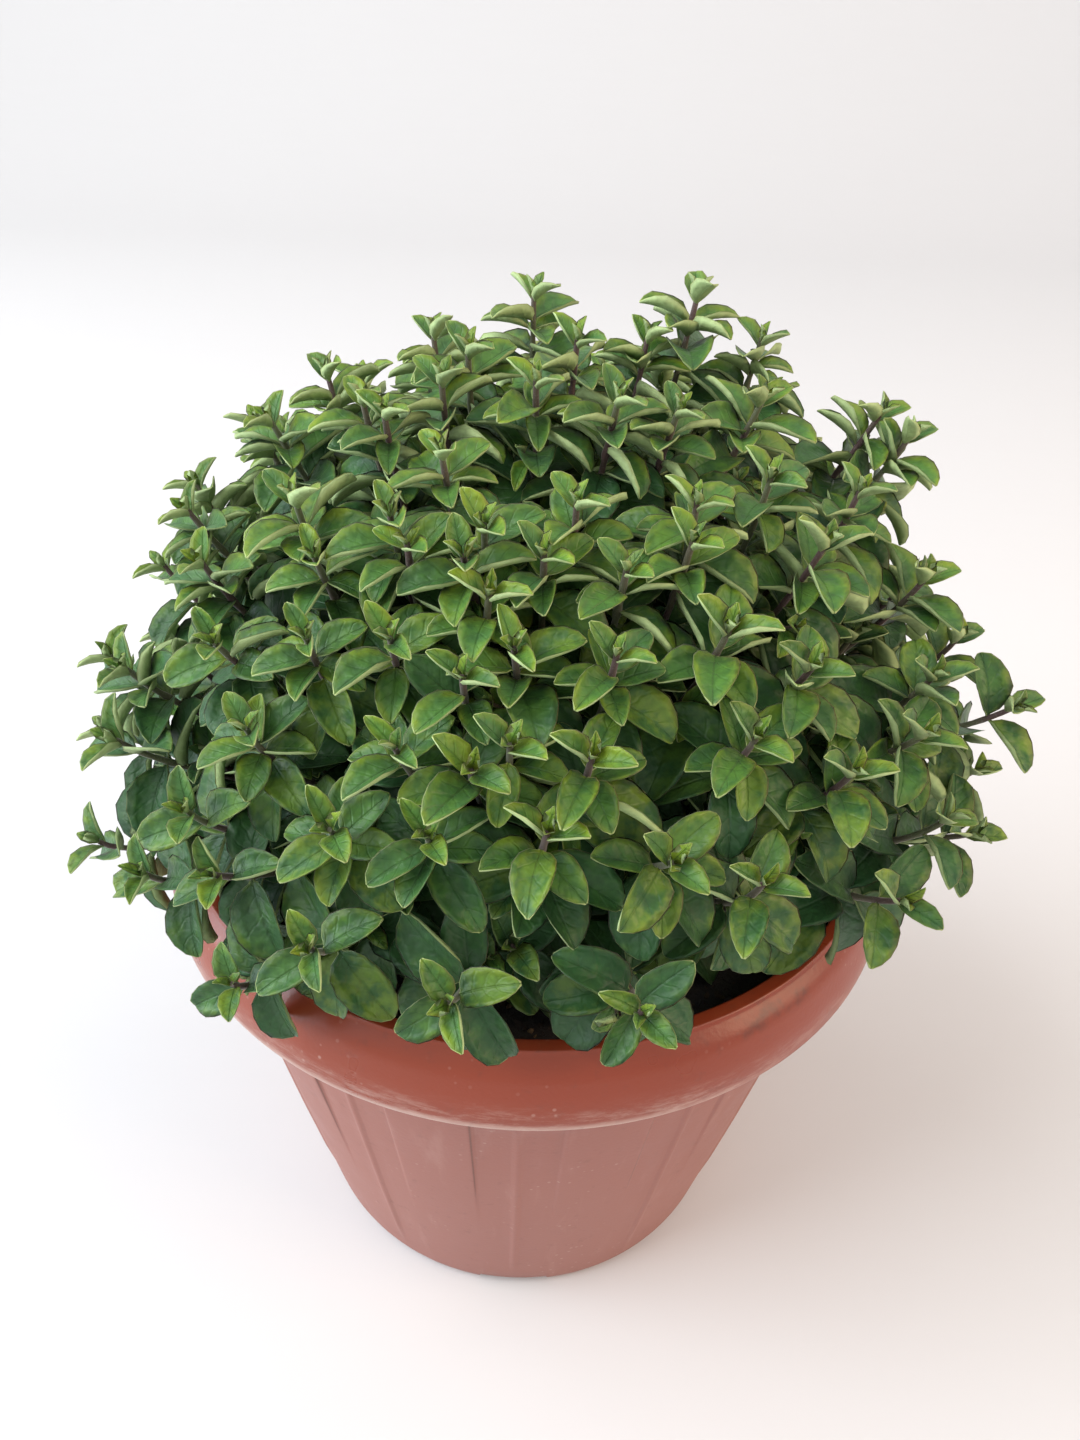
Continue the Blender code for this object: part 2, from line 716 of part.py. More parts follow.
def soil_height(x, y):
    """The soil's surface: a little uneven, and lower beside the wall."""
    rough = noise.noise(Vector((x, y, 0)) / (22 * MM)) + 0.5 * noise.noise(Vector((y, x, 0.1)) / (9 * MM))
    return SOIL_TOP + SOIL_ROUGHNESS * rough


def make_soil(shoots, finish_material):
    bm = bmesh.new()
    bottom = FLOOR_TOP + GAP
    clear = 1.3 * GAP
    wall = [FLOOR_TOP + 2.0 * MM, POT_BODY_HEIGHT, SOIL_TOP - 1.5 * MM]
    rings = [ring(bm, INNER_COLUMNS, inner_radius(bottom) - 2.6 * MM, bottom)]
    rings += [ring(bm, INNER_COLUMNS, inner_radius(height) - clear, height) for height in wall]
    rings += [
        ring(bm, INNER_COLUMNS, inner_radius(SOIL_TOP) - 3.0 * MM, SOIL_TOP),
        ring(bm, even(24), 62 * MM, SOIL_TOP),
        ring(bm, even(12), 32 * MM, SOIL_TOP),
    ]
    fan(bm, rings[0], bottom)
    for lower, upper in zip(rings, rings[1:]):
        band(bm, lower, upper)
    fan(bm, rings[-1], SOIL_TOP)
    for vert in bm.verts:
        if vert.co.z > SOIL_TOP - 0.5 * MM:
            vert.co.z = soil_height(vert.co.x, vert.co.y)
    soil = finish(bm, "soil", finish_material)
    cut(soil, [root_cutter(shoot) for shoot in shoots])
    return soil


def root_cutter(shoot):
    """A plain square hole, a gap wider than the stem that stands in it."""
    bm = bmesh.new()
    base = shoot.rings[-1]
    verts = []
    for level in (-ROOT_DEPTH - GAP, 8 * MM):
        for corner in base["corners"]:
            away = corner - base["centre"]
            away = Vector((away.x, away.y, 0))
            away = away * (1 + GAP * math.sqrt(2) / away.length)
            verts.append(bm.verts.new((shoot.root.x + away.x, shoot.root.y + away.y, SOIL_TOP + level)))
    bm.faces.new(verts[0:4])
    bm.faces.new(verts[4:8])
    for side in range(4):
        after = (side + 1) % 4
        bm.faces.new((verts[side], verts[after], verts[4 + after], verts[4 + side]))
    return finish(bm, f"cutter_{shoot.name}", SOIL_DARK)


POT_PLASTIC = material("pot_plastic", (0.38, 0.12, 0.075), 0.5)
SOIL_DARK = material("soil_dark", (0.018, 0.012, 0.009), 0.95)
LEAF_GREEN = material("leaf_green", (0.075, 0.16, 0.03), 0.55)


def obstacles(*made):
    """Names, points and triangles of finished pieces, which the leaves must stay clear of."""
    for piece in made:
        mesh = piece.data
        mesh.calc_loop_triangles()
        points = [vert.co.copy() for vert in mesh.vertices]
        yield piece.name, points, [tuple(tri.vertices) for tri in mesh.loop_triangles]


def main():
    random_shoots = random.Random(SEED)
    pot = make_pot(POT_PLASTIC)
    tips = spread(all_tips(), SHOOTS)
    shoots = []
    for number, tip in enumerate(sorted(tips, key=lambda t: (-t.z, t.x)), start=1):
        shoots.append(Shoot(f"shoot_{number:02d}", tip, random_shoots))
    keep_apart(shoots)
    for shoot in shoots:
        shoot.rings, shoot.nodes = stem_rings(shoot)
    soil = make_soil(shoots, SOIL_DARK)
    crowd = Crowd()
    for name, points, faces in obstacles(pot, soil):
        crowd.add(name, points, faces)
    for shoot in shoots:
        corners = [corner for ring_made in shoot.rings[:-1] for corner in ring_made["corners"]]
        crowd.add(shoot.name, corners, tube_faces(len(shoot.rings) - 1))
    dropped = grow_leaves(shoots, crowd)
    for shoot in shoots:
        make_shoot(shoot, LEAF_GREEN)
    leaves = sum(len(shoot.leaves) for shoot in shoots)
    print(f"{len(shoots)} shoots, {leaves} leaves, {dropped} places left bare")


main()
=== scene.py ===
# %% [markdown]
# # A potted Greek oregano
#
# The measured model gives this plant its sizes: a pot, its soil and 45 plain leafy shoots, all
# in metres with +Z up. It is right in place and plain in looks. This lesson dresses it. The pot
# gets a smooth turned shell, the soil gets crumbs, and the 45 shoots become over two hundred,
# with cupped, veined leaves. The pot and the tips of the shoots stay where they are, so the
# dressed plant fills the same box as its model.

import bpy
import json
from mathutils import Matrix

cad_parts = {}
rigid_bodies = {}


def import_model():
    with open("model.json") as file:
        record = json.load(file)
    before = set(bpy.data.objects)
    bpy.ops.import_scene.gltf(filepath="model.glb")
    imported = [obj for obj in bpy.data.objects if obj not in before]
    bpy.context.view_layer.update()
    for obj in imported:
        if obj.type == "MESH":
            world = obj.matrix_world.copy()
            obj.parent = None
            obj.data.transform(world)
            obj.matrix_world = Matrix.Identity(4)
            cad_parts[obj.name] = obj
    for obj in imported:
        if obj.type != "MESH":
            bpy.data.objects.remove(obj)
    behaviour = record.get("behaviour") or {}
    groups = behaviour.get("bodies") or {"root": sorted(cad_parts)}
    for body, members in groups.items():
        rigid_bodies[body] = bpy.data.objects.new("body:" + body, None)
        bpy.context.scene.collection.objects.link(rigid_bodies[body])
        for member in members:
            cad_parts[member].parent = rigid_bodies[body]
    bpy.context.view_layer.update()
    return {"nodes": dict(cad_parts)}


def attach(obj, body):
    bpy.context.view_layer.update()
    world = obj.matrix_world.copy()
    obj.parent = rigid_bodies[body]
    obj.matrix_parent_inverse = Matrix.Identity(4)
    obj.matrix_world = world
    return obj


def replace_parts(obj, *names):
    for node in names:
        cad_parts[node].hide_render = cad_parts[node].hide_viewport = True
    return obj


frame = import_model()

# %% Modules and units
import json
import math
import random

import bmesh
import bpy
from mathutils import Matrix, Vector, noise
from mathutils.bvhtree import BVHTree

MM = 0.001
UP = Vector((0, 0, 1))
FRONT = -math.pi / 2

# %% [markdown]
# ## The photograph's eye
#
# A camera is a point, a direction and a focal length. Here all three were found by fitting the
# pot's rim, collar and foot to the photograph. The numbers are named once, because they also
# say where each shoot tip stands: a tip in the picture lies somewhere on the ray through it.

# %% Camera
EYE = Vector((0.0, -242.5, 343.4)) * MM
EYE_PITCH = math.radians(35.81)
EYE_YAW = math.radians(0.36)
EYE_ROLL = math.radians(2.40)
PICTURE = (1080.0, 1440.0)
FOCAL_PIXELS = 1100.0
SENSOR_MM = 36.0


def eye_axes():
    """The eye's right, up and forward directions."""
    forward = Vector((
        math.sin(EYE_YAW) * math.cos(EYE_PITCH),
        math.cos(EYE_YAW) * math.cos(EYE_PITCH),
        -math.sin(EYE_PITCH),
    ))
    level_right = forward.cross(UP).normalized()
    level_up = level_right.cross(forward)
    right = math.cos(EYE_ROLL) * level_right + math.sin(EYE_ROLL) * level_up
    up = -math.sin(EYE_ROLL) * level_right + math.cos(EYE_ROLL) * level_up
    return right, up, forward


def into_scene(name, data):
    """An object in the scene, for a mesh, a lamp or a camera."""
    made = bpy.data.objects.new(name, data)
    bpy.context.collection.objects.link(made)
    return made


RIGHT, PICTURE_UP, FORWARD = eye_axes()
lens = bpy.data.cameras.new("portrait_camera")
lens.sensor_width = SENSOR_MM
lens.lens = FOCAL_PIXELS / max(PICTURE) * SENSOR_MM
lens.clip_start = 0.01
lens.clip_end = 40.0
camera = into_scene("portrait_camera", lens)
camera.location = EYE
camera.rotation_mode = "QUATERNION"
camera.rotation_quaternion = Matrix((RIGHT, PICTURE_UP, -FORWARD)).transposed().to_quaternion()
bpy.context.scene.camera = camera
print("lens, mm:", round(lens.lens, 2))

# %% [markdown]
# ## Small helpers for node trees
#
# Materials and Geometry Nodes are both built from nodes and links. They can be drawn by hand in
# the node editor, but a script can repeat them. A few short helpers keep that readable: they
# add a node with its inputs, do arithmetic on sockets, mix colours, and make noise and bumps.

# %% Node helpers


def fill(tree, node, inputs):
    """Sets inputs of a node. Each is a value, or the socket that feeds it."""
    for name, value in inputs.items():
        if isinstance(value, bpy.types.NodeSocket):
            tree.links.new(value, node.inputs[name])
        else:
            node.inputs[name].default_value = value


def add(tree, kind, inputs=None, **options):
    """Adds a node with its options and inputs."""
    made = tree.nodes.new(kind)
    for option, value in options.items():
        setattr(made, option, value)
    fill(tree, made, inputs or {})
    return made


def calc(tree, operation, *values):
    """Arithmetic on numbers and sockets, with the result as a socket."""
    return add(tree, "ShaderNodeMath", dict(enumerate(values)), operation=operation).outputs[0]


def product(tree, first, *others):
    """All values multiplied together, as a socket."""
    for other in others:
        first = calc(tree, "MULTIPLY", first, other)
    return first


def ramp(tree, value, low, high, to_low=0.0, to_high=1.0):
    """A smooth step from to_low to to_high as value goes from low to high."""
    inputs = {"Value": value, "From Min": low, "From Max": high, "To Min": to_low, "To Max": to_high}
    return add(tree, "ShaderNodeMapRange", inputs, interpolation_type="SMOOTHSTEP").outputs["Result"]


def blend(tree, share, first, second):
    """Mixes two colours, each a socket or a linear (r, g, b)."""
    inputs = {0: share}
    for index, colour in ((6, first), (7, second)):
        inputs[index] = colour if isinstance(colour, bpy.types.NodeSocket) else (*colour, 1.0)
    return add(tree, "ShaderNodeMix", inputs, data_type="RGBA").outputs[2]


def new_material(name):
    """A material with its node tree and Principled shader."""
    made = bpy.data.materials.new(name)
    made.use_nodes = True
    return made, made.node_tree, made.node_tree.nodes["Principled BSDF"]


def grain(tree, where, scale, detail=2.0, roughness=0.5):
    """Noise over a position, as a number about 0.5."""
    inputs = {"Vector": where, "Scale": scale, "Detail": detail, "Roughness": roughness}
    return add(tree, "ShaderNodeTexNoise", inputs).outputs["Fac"]


def bumps(tree, strength, depth, height):
    """A relief that only the light sees, for a shader's Normal."""
    inputs = {"Strength": strength, "Distance": depth, "Height": height}
    return add(tree, "ShaderNodeBump", inputs).outputs[0]


def own_position(tree):
    """The surface's own coordinates, in metres."""
    return add(tree, "ShaderNodeTexCoord").outputs["Object"]


def stretched(tree, where, scale):
    """A position with its axes scaled. Below 1, a pattern is drawn out along that axis."""
    return add(tree, "ShaderNodeMapping", {0: where, "Scale": scale}).outputs[0]


print("helpers ready")

# %% [markdown]
# ## Leaf colour
#
# An oregano leaf is a soft, slightly glossy blade. Its upper side is yellow-green on the
# youngest leaves and deep green on old ones. Painted shade makes it darker towards the leaf's
# base. The underside is pale and matte, and the thin rim is the palest part of all. The surface
# between the side veins is puckered, with painted light on its crowns and painted shade in its
# hollows. A picture wrapped on each leaf could show that, but nodes stay sharp at any size and
# can differ from leaf to leaf. So the shader reads a map that runs along and across each blade,
# and numbers that the mesh carries: a leaf's age, raised inside and low on the bush partly as
# painted shade, its own tone, how far a point is from the rim, and which side it is on.

# %% Leaf material
MARGIN_GREEN = (0.190, 0.280, 0.018)
CENTRE_GREEN = (0.085, 0.210, 0.030)
OLD_GREEN = (0.024, 0.079, 0.022)
YELLOWED = (0.165, 0.215, 0.014)
BLUE_GREEN = (0.040, 0.140, 0.050)
VEIN_GREEN = (0.014, 0.048, 0.012)
UNDERSIDE_GREEN = (0.340, 0.435, 0.190)
UNDERSIDE_OLD = (0.150, 0.230, 0.095)
UNDERSIDE_VEIN = (0.420, 0.540, 0.240)
RIM_GREEN = (0.500, 0.570, 0.220)
MARGIN_MM = 2.6
SIDE_VEINS = 4.5
VEIN_SWEEP = 0.30
RIM_WIDTH_MM = 0.20
LEAF_RELIEF = 0.62 * MM
PUCKER_SIZE = 2.0 * MM
PATCH_SIZE = 5.0 * MM


def carried(tree, name):
    """A number that each leaf carries."""
    return add(tree, "ShaderNodeAttribute", attribute_name=name).outputs["Fac"]


def about_zero(tree, value, size):
    """Noise, moved so that it swings by size about zero."""
    return calc(tree, "MULTIPLY", calc(tree, "SUBTRACT", value, 0.5), size)


def leaf_veins(tree, where):
    """How strongly a point lies on the midrib, on a side vein, and near the leaf's base."""
    blade_map = add(tree, "ShaderNodeUVMap", uv_map="blade").outputs[0]
    place = add(tree, "ShaderNodeSeparateXYZ", {0: blade_map})
    across = calc(tree, "ABSOLUTE", calc(tree, "MULTIPLY_ADD", place.outputs[0], 2.0, -1.0))
    wander = about_zero(tree, grain(tree, where, 260.0, 1.0), 0.16)
    along = calc(tree, "ADD", place.outputs[1], wander)
    swept = calc(tree, "MULTIPLY_ADD", across, -VEIN_SWEEP, along)
    between = calc(tree, "PINGPONG", product(tree, swept, SIDE_VEINS), 0.5)
    fade = ramp(tree, across, 0.55, 1.0, 1.0, 0.0)
    side = product(tree, ramp(tree, between, 0.0, 0.16, 1.0, 0.0), fade)
    midrib = ramp(tree, across, 0.0, 0.09, 1.0, 0.0)
    # The share near the base only serves painted shade, where the rosette shades the leaf.
    base = ramp(tree, place.outputs[1], 0.0, 0.50, 1.0, 0.0)
    return midrib, side, base


def upper_green(tree, age, tone, edge, patches):
    """The colour of a leaf's upper side, without its veins."""
    age_and_painted_shade = calc(tree, "ADD", age, about_zero(tree, patches, 1.1))
    inward = calc(tree, "ADD", edge, about_zero(tree, patches, 3.0))
    colour = blend(tree, ramp(tree, inward, 0.0, MARGIN_MM), MARGIN_GREEN, CENTRE_GREEN)
    colour = blend(tree, ramp(tree, age_and_painted_shade, -0.10, 0.70), colour, OLD_GREEN)
    yellow = product(tree, ramp(tree, tone, 0.1, 1.0), ramp(tree, patches, 0.62, 0.40), 0.4)
    colour = blend(tree, yellow, colour, YELLOWED)
    return blend(tree, ramp(tree, tone, -0.2, -1.0, 0.0, 0.35), colour, BLUE_GREEN)


def leaf_tone_and_painted_shade(tree, where, tone, base, pucker):
    """How light a leaf is: its own tone, painted shade at its base, and painted light and shade on its
    puckers.
    """
    shade = calc(tree, "MULTIPLY_ADD", tone, 0.12, 1.04)
    # Painted shade towards the leaf's base.
    shade = calc(tree, "MULTIPLY_ADD", base, -0.30, shade)
    # Painted light on the puckers' crowns and painted shade in their hollows, following the relief's noise.
    shade = calc(tree, "ADD", shade, about_zero(tree, pucker, 0.55))
    return calc(tree, "ADD", shade, about_zero(tree, grain(tree, where, 1400.0, 2.0), 0.22))


def leaf_material():
    """Both sides of the leaves: colour, veins, rim, gloss and pucker."""
    made, tree, shader = new_material("oregano_leaf")
    under = ramp(tree, carried(tree, "under"), 0.44, 0.56)
    age = carried(tree, "age")
    tone = carried(tree, "tone")
    edge = carried(tree, "edge")
    where = own_position(tree)
    midrib, side, base = leaf_veins(tree, where)
    pucker = grain(tree, where, 1.0 / PUCKER_SIZE, 1.5, 0.45)
    patches = grain(tree, where, 1.0 / PATCH_SIZE, 3.0, 0.6)

    # Darker veins: partly their own colour, partly painted shade in the sunken veins.
    dark = calc(tree, "MULTIPLY_ADD", midrib, 0.16, product(tree, side, 0.035))
    top = blend(tree, dark, upper_green(tree, age, tone, edge, patches), VEIN_GREEN)
    pale = product(tree, calc(tree, "ADD", side, midrib), 0.20)
    low = blend(tree, ramp(tree, age, 0.35, 1.1), UNDERSIDE_GREEN, UNDERSIDE_OLD)
    colour = blend(tree, under, top, blend(tree, pale, low, UNDERSIDE_VEIN))
    shade = leaf_tone_and_painted_shade(tree, where, tone, base, pucker)
    shaded = add(tree, "ShaderNodeHueSaturation", {"Color": colour, "Value": shade}).outputs[0]
    rim = ramp(tree, edge, RIM_WIDTH_MM * 0.4, RIM_WIDTH_MM * 1.4, 1.0, 0.0)
    rim = product(tree, rim, ramp(tree, age, 0.1, 0.8, 0.74, 0.30))

    gloss = calc(tree, "MULTIPLY_ADD", under, 0.22, 0.46)
    relief = calc(tree, "MULTIPLY_ADD", side, -0.16, pucker)
    relief = calc(tree, "MULTIPLY_ADD", midrib, -0.30, relief)
    relief = product(tree, relief, calc(tree, "MULTIPLY_ADD", under, -1.6, 1.0))
    fill(tree, shader, {
        "Base Color": blend(tree, rim, shaded, RIM_GREEN),
        "Roughness": calc(tree, "ADD", gloss, about_zero(tree, patches, 0.25)),
        "Specular IOR Level": 0.36,
        "Sheen Weight": 0.05,
        "Sheen Roughness": 0.5,
        "Normal": bumps(tree, 0.8, LEAF_RELIEF, relief),
    })
    return made


LEAF = leaf_material()
print("leaf nodes:", len(LEAF.node_tree.nodes))

# %% [markdown]
# ## Stem colour
#
# The stems are square in section and purple-brown, with grey-green patches and a bloom of short
# pale hairs. A hair system could grow them, but they are finer than a pixel here. So a sheen
# and fine pale specks stand for them, and a relief of streaks follows the stem.

# %% Stem material
STEM_PURPLE = (0.085, 0.046, 0.046)
STEM_GREEN = (0.095, 0.105, 0.050)
STEM_HAIR = (0.330, 0.290, 0.270)


def stem_material():
    """Purple-brown and grey-green stems under a bloom of hairs."""
    made, tree, shader = new_material("oregano_stem")
    where = own_position(tree)
    patches = grain(tree, where, 60.0, 2.0)
    colour = blend(tree, ramp(tree, patches, 0.40, 0.62), STEM_PURPLE, STEM_GREEN)
    hairs = ramp(tree, grain(tree, where, 2600.0, 1.0), 0.56, 0.70)
    streaks = grain(tree, stretched(tree, where, (1.0, 1.0, 0.25)), 420.0, 3.0)
    fill(tree, shader, {
        "Base Color": blend(tree, product(tree, hairs, 0.22), colour, STEM_HAIR),
        "Roughness": 0.62,
        "Sheen Weight": 0.35,
        "Sheen Roughness": 0.4,
        "Normal": bumps(tree, 0.7, 0.1 * MM, streaks),
    })
    return made


STEM = stem_material()
print("stem nodes:", len(STEM.node_tree.nodes))

# %% [markdown]
# ## Pot colour
#
# The pot is moulded plastic in a terracotta colour. Its collar is the most saturated part. The
# body below it has a pale dusty film with faint upright streaks. The film thins towards the
# collar, so the body darkens there, partly from less dust and partly as painted shade under the
# collar. The collar's lower edge has whitish scuffs and a worn band, the lip has smudges of soil,
# and all of it carries fine specks.
# Wear could be painted by hand, but most of it depends on the height on the pot, so the shader
# reads Z and breaks it up with noise. Painted shade along each panel's left edge, where the step
# faces away from the window lamp, is a number that the shell carries.

# %% Pot material
POT_RED = (0.238, 0.038, 0.014)
POT_DUSTY = (0.325, 0.140, 0.112)
POT_STREAK = (0.420, 0.215, 0.175)
POT_SCUFF = (0.560, 0.400, 0.340)
POT_DARK = (0.120, 0.034, 0.022)
LIP_SOIL = (0.045, 0.026, 0.020)
COLLAR_BOTTOM = 129.0 * MM
LIP_MARKS_FROM = 142.0 * MM


def rubbed_collar(tree, where, height, body):
    """Scuffs on the collar's lower part, in flat patches."""
    rise = ramp(tree, height, COLLAR_BOTTOM + 1.0 * MM, COLLAR_BOTTOM + 10.0 * MM, 1.0, 0.0)
    scuffs = grain(tree, stretched(tree, where, (1.0, 1.0, 5.0)), 90.0, 8.0, 0.8)
    return product(tree, calc(tree, "SUBTRACT", 1.0, body), rise, ramp(tree, scuffs, 0.44, 0.72))


def worn_band(tree, where, height):
    """A narrow band of wear at the collar's lower edge, here and there."""
    start = ramp(tree, height, COLLAR_BOTTOM - 0.6 * MM, COLLAR_BOTTOM + 0.5 * MM)
    end = ramp(tree, height, COLLAR_BOTTOM + 0.5 * MM, COLLAR_BOTTOM + 2.8 * MM, 1.0, 0.0)
    return product(tree, start, end, ramp(tree, grain(tree, where, 14.0, 3.0), 0.42, 0.60))


def pale_specks(tree, where):
    """Fine specks, in some places only."""
    spots = add(tree, "ShaderNodeTexVoronoi", {"Vector": where, "Scale": 330.0}, feature="F1")
    chosen = ramp(tree, grain(tree, where, 40.0, 2.0), 0.50, 0.66)
    return product(tree, ramp(tree, spots.outputs["Distance"], 0.08, 0.20, 1.0, 0.0), chosen)


def pot_material():
    """Terracotta-coloured plastic under dust, wear, stains, soil and some painted shade."""
    made, tree, shader = new_material("terracotta_plastic")
    where = own_position(tree)
    height = add(tree, "ShaderNodeSeparateXYZ", {0: where}).outputs[2]
    cloud = grain(tree, where, 22.0, 4.0, 0.6)
    body = ramp(tree, height, COLLAR_BOTTOM - 1.0 * MM, COLLAR_BOTTOM + 1.0 * MM, 1.0, 0.0)
    # The film thins towards the collar, so the body darkens there: partly less dust, partly painted shade
    # under the collar.
    thinning_and_collar_shade = ramp(tree, height, 20 * MM, COLLAR_BOTTOM, 1.15, 0.75)
    film_and_collar_shade = product(tree, body, thinning_and_collar_shade, ramp(tree, cloud, 0.25, 0.75, 0.50, 0.90))
    colour = blend(tree, film_and_collar_shade, POT_RED, POT_DUSTY)

    rubbed = rubbed_collar(tree, where, height, body)
    colour = blend(tree, product(tree, rubbed, 0.60), colour, POT_SCUFF)
    colour = blend(tree, product(tree, worn_band(tree, where, height), 0.68), colour, POT_SCUFF)
    colour = blend(tree, product(tree, pale_specks(tree, where), 0.34), colour, POT_SCUFF)
    streaks = grain(tree, stretched(tree, where, (1.0, 1.0, 0.10)), 130.0, 4.0, 0.6)
    streaks = product(tree, ramp(tree, streaks, 0.55, 0.75), body, 0.30)
    colour = blend(tree, streaks, colour, POT_STREAK)
    stains_and_crease_shade = product(tree, ramp(tree, grain(tree, where, 260.0, 3.0, 0.6), 0.58, 0.78), 0.26)
    # The crease attribute is painted shade along each panel's left edge, where the step faces away from the
    # window lamp.
    stains_and_crease_shade = calc(tree, "MAXIMUM", stains_and_crease_shade, product(tree, carried(tree, "crease"), 0.85))
    colour = blend(tree, stains_and_crease_shade, colour, POT_DARK)
    lip = ramp(tree, height, LIP_MARKS_FROM, LIP_MARKS_FROM + 3.0 * MM)
    marks = ramp(tree, grain(tree, where, 34.0, 5.0, 0.65), 0.60, 0.70)
    colour = blend(tree, product(tree, lip, marks, 0.55), colour, LIP_SOIL)

    dull = calc(tree, "MULTIPLY_ADD", film_and_collar_shade, 0.28, 0.30)
    dull = calc(tree, "MULTIPLY_ADD", rubbed, 0.15, dull)
    dull = calc(tree, "MULTIPLY_ADD", calc(tree, "SUBTRACT", cloud, 0.5), 0.25, dull)
    wavy = calc(tree, "MULTIPLY_ADD", cloud, 2.5, grain(tree, where, 900.0, 2.0))
    fill(tree, shader, {
        "Base Color": colour,
        "Roughness": dull,
        "Specular IOR Level": 0.48,
        "Normal": bumps(tree, 0.35, 0.12 * MM, wavy),
    })
    return made


POT = pot_material()
print("pot nodes:", len(POT.node_tree.nodes))

# %% [markdown]
# ## Soil colour
#
# Moist potting mix is almost black, with brown fibres and a few pale bits of bark. Each crumb
# carries a random tone, and the surface under the crumbs gets its spread from noise.

# %% Soil material
SOIL_BLACK = (0.036, 0.032, 0.034)
SOIL_BROWN = (0.060, 0.036, 0.022)
BARK_PALE = (0.260, 0.170, 0.100)


def soil_material():
    """Dark mix with brown fibres, and a few pale crumbs of bark."""
    made, tree, shader = new_material("potting_mix")
    where = own_position(tree)
    crumb = carried(tree, "crumb")
    fibres = grain(tree, where, 300.0, 5.0, 0.7)
    mottled = calc(tree, "MULTIPLY_ADD", fibres, 0.7, product(tree, crumb, 0.5))
    colour = blend(tree, ramp(tree, mottled, 0.35, 0.85), SOIL_BLACK, SOIL_BROWN)
    fill(tree, shader, {
        "Base Color": blend(tree, ramp(tree, crumb, 0.955, 0.965), colour, BARK_PALE),
        "Roughness": 0.85,
        "Normal": bumps(tree, 0.8, 0.6 * MM, grain(tree, where, 700.0, 6.0, 0.7)),
    })
    return made


SOIL = soil_material()
print("soil nodes:", len(SOIL.node_tree.nodes))

# %% [markdown]
# ## Where the shoots stand
#
# The bush is a dome. Each shoot tip that the photograph shows is a named pixel, and the ray
# through it meets the dome at the tip's place. Where the photograph shows none, such as on the
# back, an even golden spiral adds tips. The measured model chose 45 of them, the most evenly
# spread. Repeating its rule here gives the same 45 shoots, and then the rest can join them.

# %% Shoot tips
SOIL_TOP = 136.5 * MM
ROOT_DEPTH = 9.0 * MM
DOME_CENTRE = Vector((1.0, 0.0, 147.0)) * MM
DOME_RADII = Vector((116.0, 112.0, 124.0)) * MM
TIP_SPACING = 30.0 * MM
LOWEST_TIP = 158.0 * MM
EVEN_TIPS = 150
TIPS_SEEN = [
    (534, 292), (698, 294), (648, 336), (762, 338), (468, 350), (441, 378), (536, 380),
    (384, 412), (362, 399), (619, 398), (763, 400), (679, 409), (880, 415), (270, 420),
    (910, 437), (441, 452), (771, 478), (295, 500), (577, 502), (697, 502), (390, 515),
    (484, 524), (693, 541), (407, 543), (826, 544), (544, 553), (314, 556), (463, 556),
    (200, 560), (627, 569), (926, 578), (489, 594), (729, 631), (306, 638), (390, 638),
    (215, 643), (514, 648), (617, 655), (125, 668), (812, 668), (462, 676), (934, 676),
    (1013, 708), (246, 728), (923, 736), (756, 738), (116, 740), (510, 745), (395, 748),
    (592, 757), (471, 770), (853, 773), (187, 811), (329, 830), (547, 833), (428, 838),
    (672, 863), (214, 875), (763, 884), (449, 1003),
]


def view_ray(pixel):
    """Direction from the eye through a pixel of the photograph."""
    x = (pixel[0] - PICTURE[0] / 2) / FOCAL_PIXELS
    y = (PICTURE[1] / 2 - pixel[1]) / FOCAL_PIXELS
    return (FORWARD + x * RIGHT + y * PICTURE_UP).normalized()


def in_dome(point):
    """A point in the dome's own measure: its surface is 1 away from its centre."""
    return Vector((point[i] - DOME_CENTRE[i]) / DOME_RADII[i] for i in range(3))


def on_dome(pixel):
    """Where the view through a pixel meets the dome, or passes nearest to it."""
    ray = view_ray(pixel)
    start = in_dome(EYE)
    step = Vector(ray[i] / DOME_RADII[i] for i in range(3))
    nearest = -start.dot(step) / step.dot(step)
    closest = start + nearest * step
    if closest.length < 1.0:
        nearest -= math.sqrt((1.0 - closest.length_squared) / step.dot(step))
    return EYE + nearest * ray


def golden_spiral(count):
    """Evenly spread points over the dome, from its top down."""
    points = []
    for i in range(count):
        height = 1.0 - (i + 0.5) / count
        turn = i * math.pi * (3.0 - math.sqrt(5.0))
        flat = math.sqrt(1.0 - height * height)
        unit = (flat * math.cos(turn), flat * math.sin(turn), height)
        points.append(Vector(DOME_CENTRE[k] + unit[k] * DOME_RADII[k] for k in range(3)))
    return points


def room(place, tips):
    """Distance from a place to the nearest tip."""
    return min((place - tip).length for tip in tips)


def all_tips():
    """The tips that the photograph shows, and an even spread where it shows none."""
    tips = [on_dome(pixel) for pixel in TIPS_SEEN]
    for tip in tips:
        tip.z = max(tip.z, LOWEST_TIP)
    for point in golden_spiral(EVEN_TIPS):
        if point.z > LOWEST_TIP and room(point, tips) > TIP_SPACING:
            tips.append(point)
    return tips


def spread(tips, count):
    """Picks the most evenly spread tips: the leftmost, then always the one farthest from them."""
    chosen = sorted(tips, key=lambda tip: tip.x)[:1]
    while len(chosen) < count:
        rest = [tip for tip in tips if tip not in chosen]
        chosen.append(max(rest, key=lambda tip: room(tip, chosen)))
    return chosen


MODELLED = sorted(name for name in frame["nodes"] if name.startswith("shoot_"))
TIPS = all_tips()
MODELLED_TIPS = sorted(spread(TIPS, len(MODELLED)), key=lambda tip: (-tip.z, tip.x))
print("tips:", len(TIPS), "of which modelled:", len(MODELLED_TIPS))

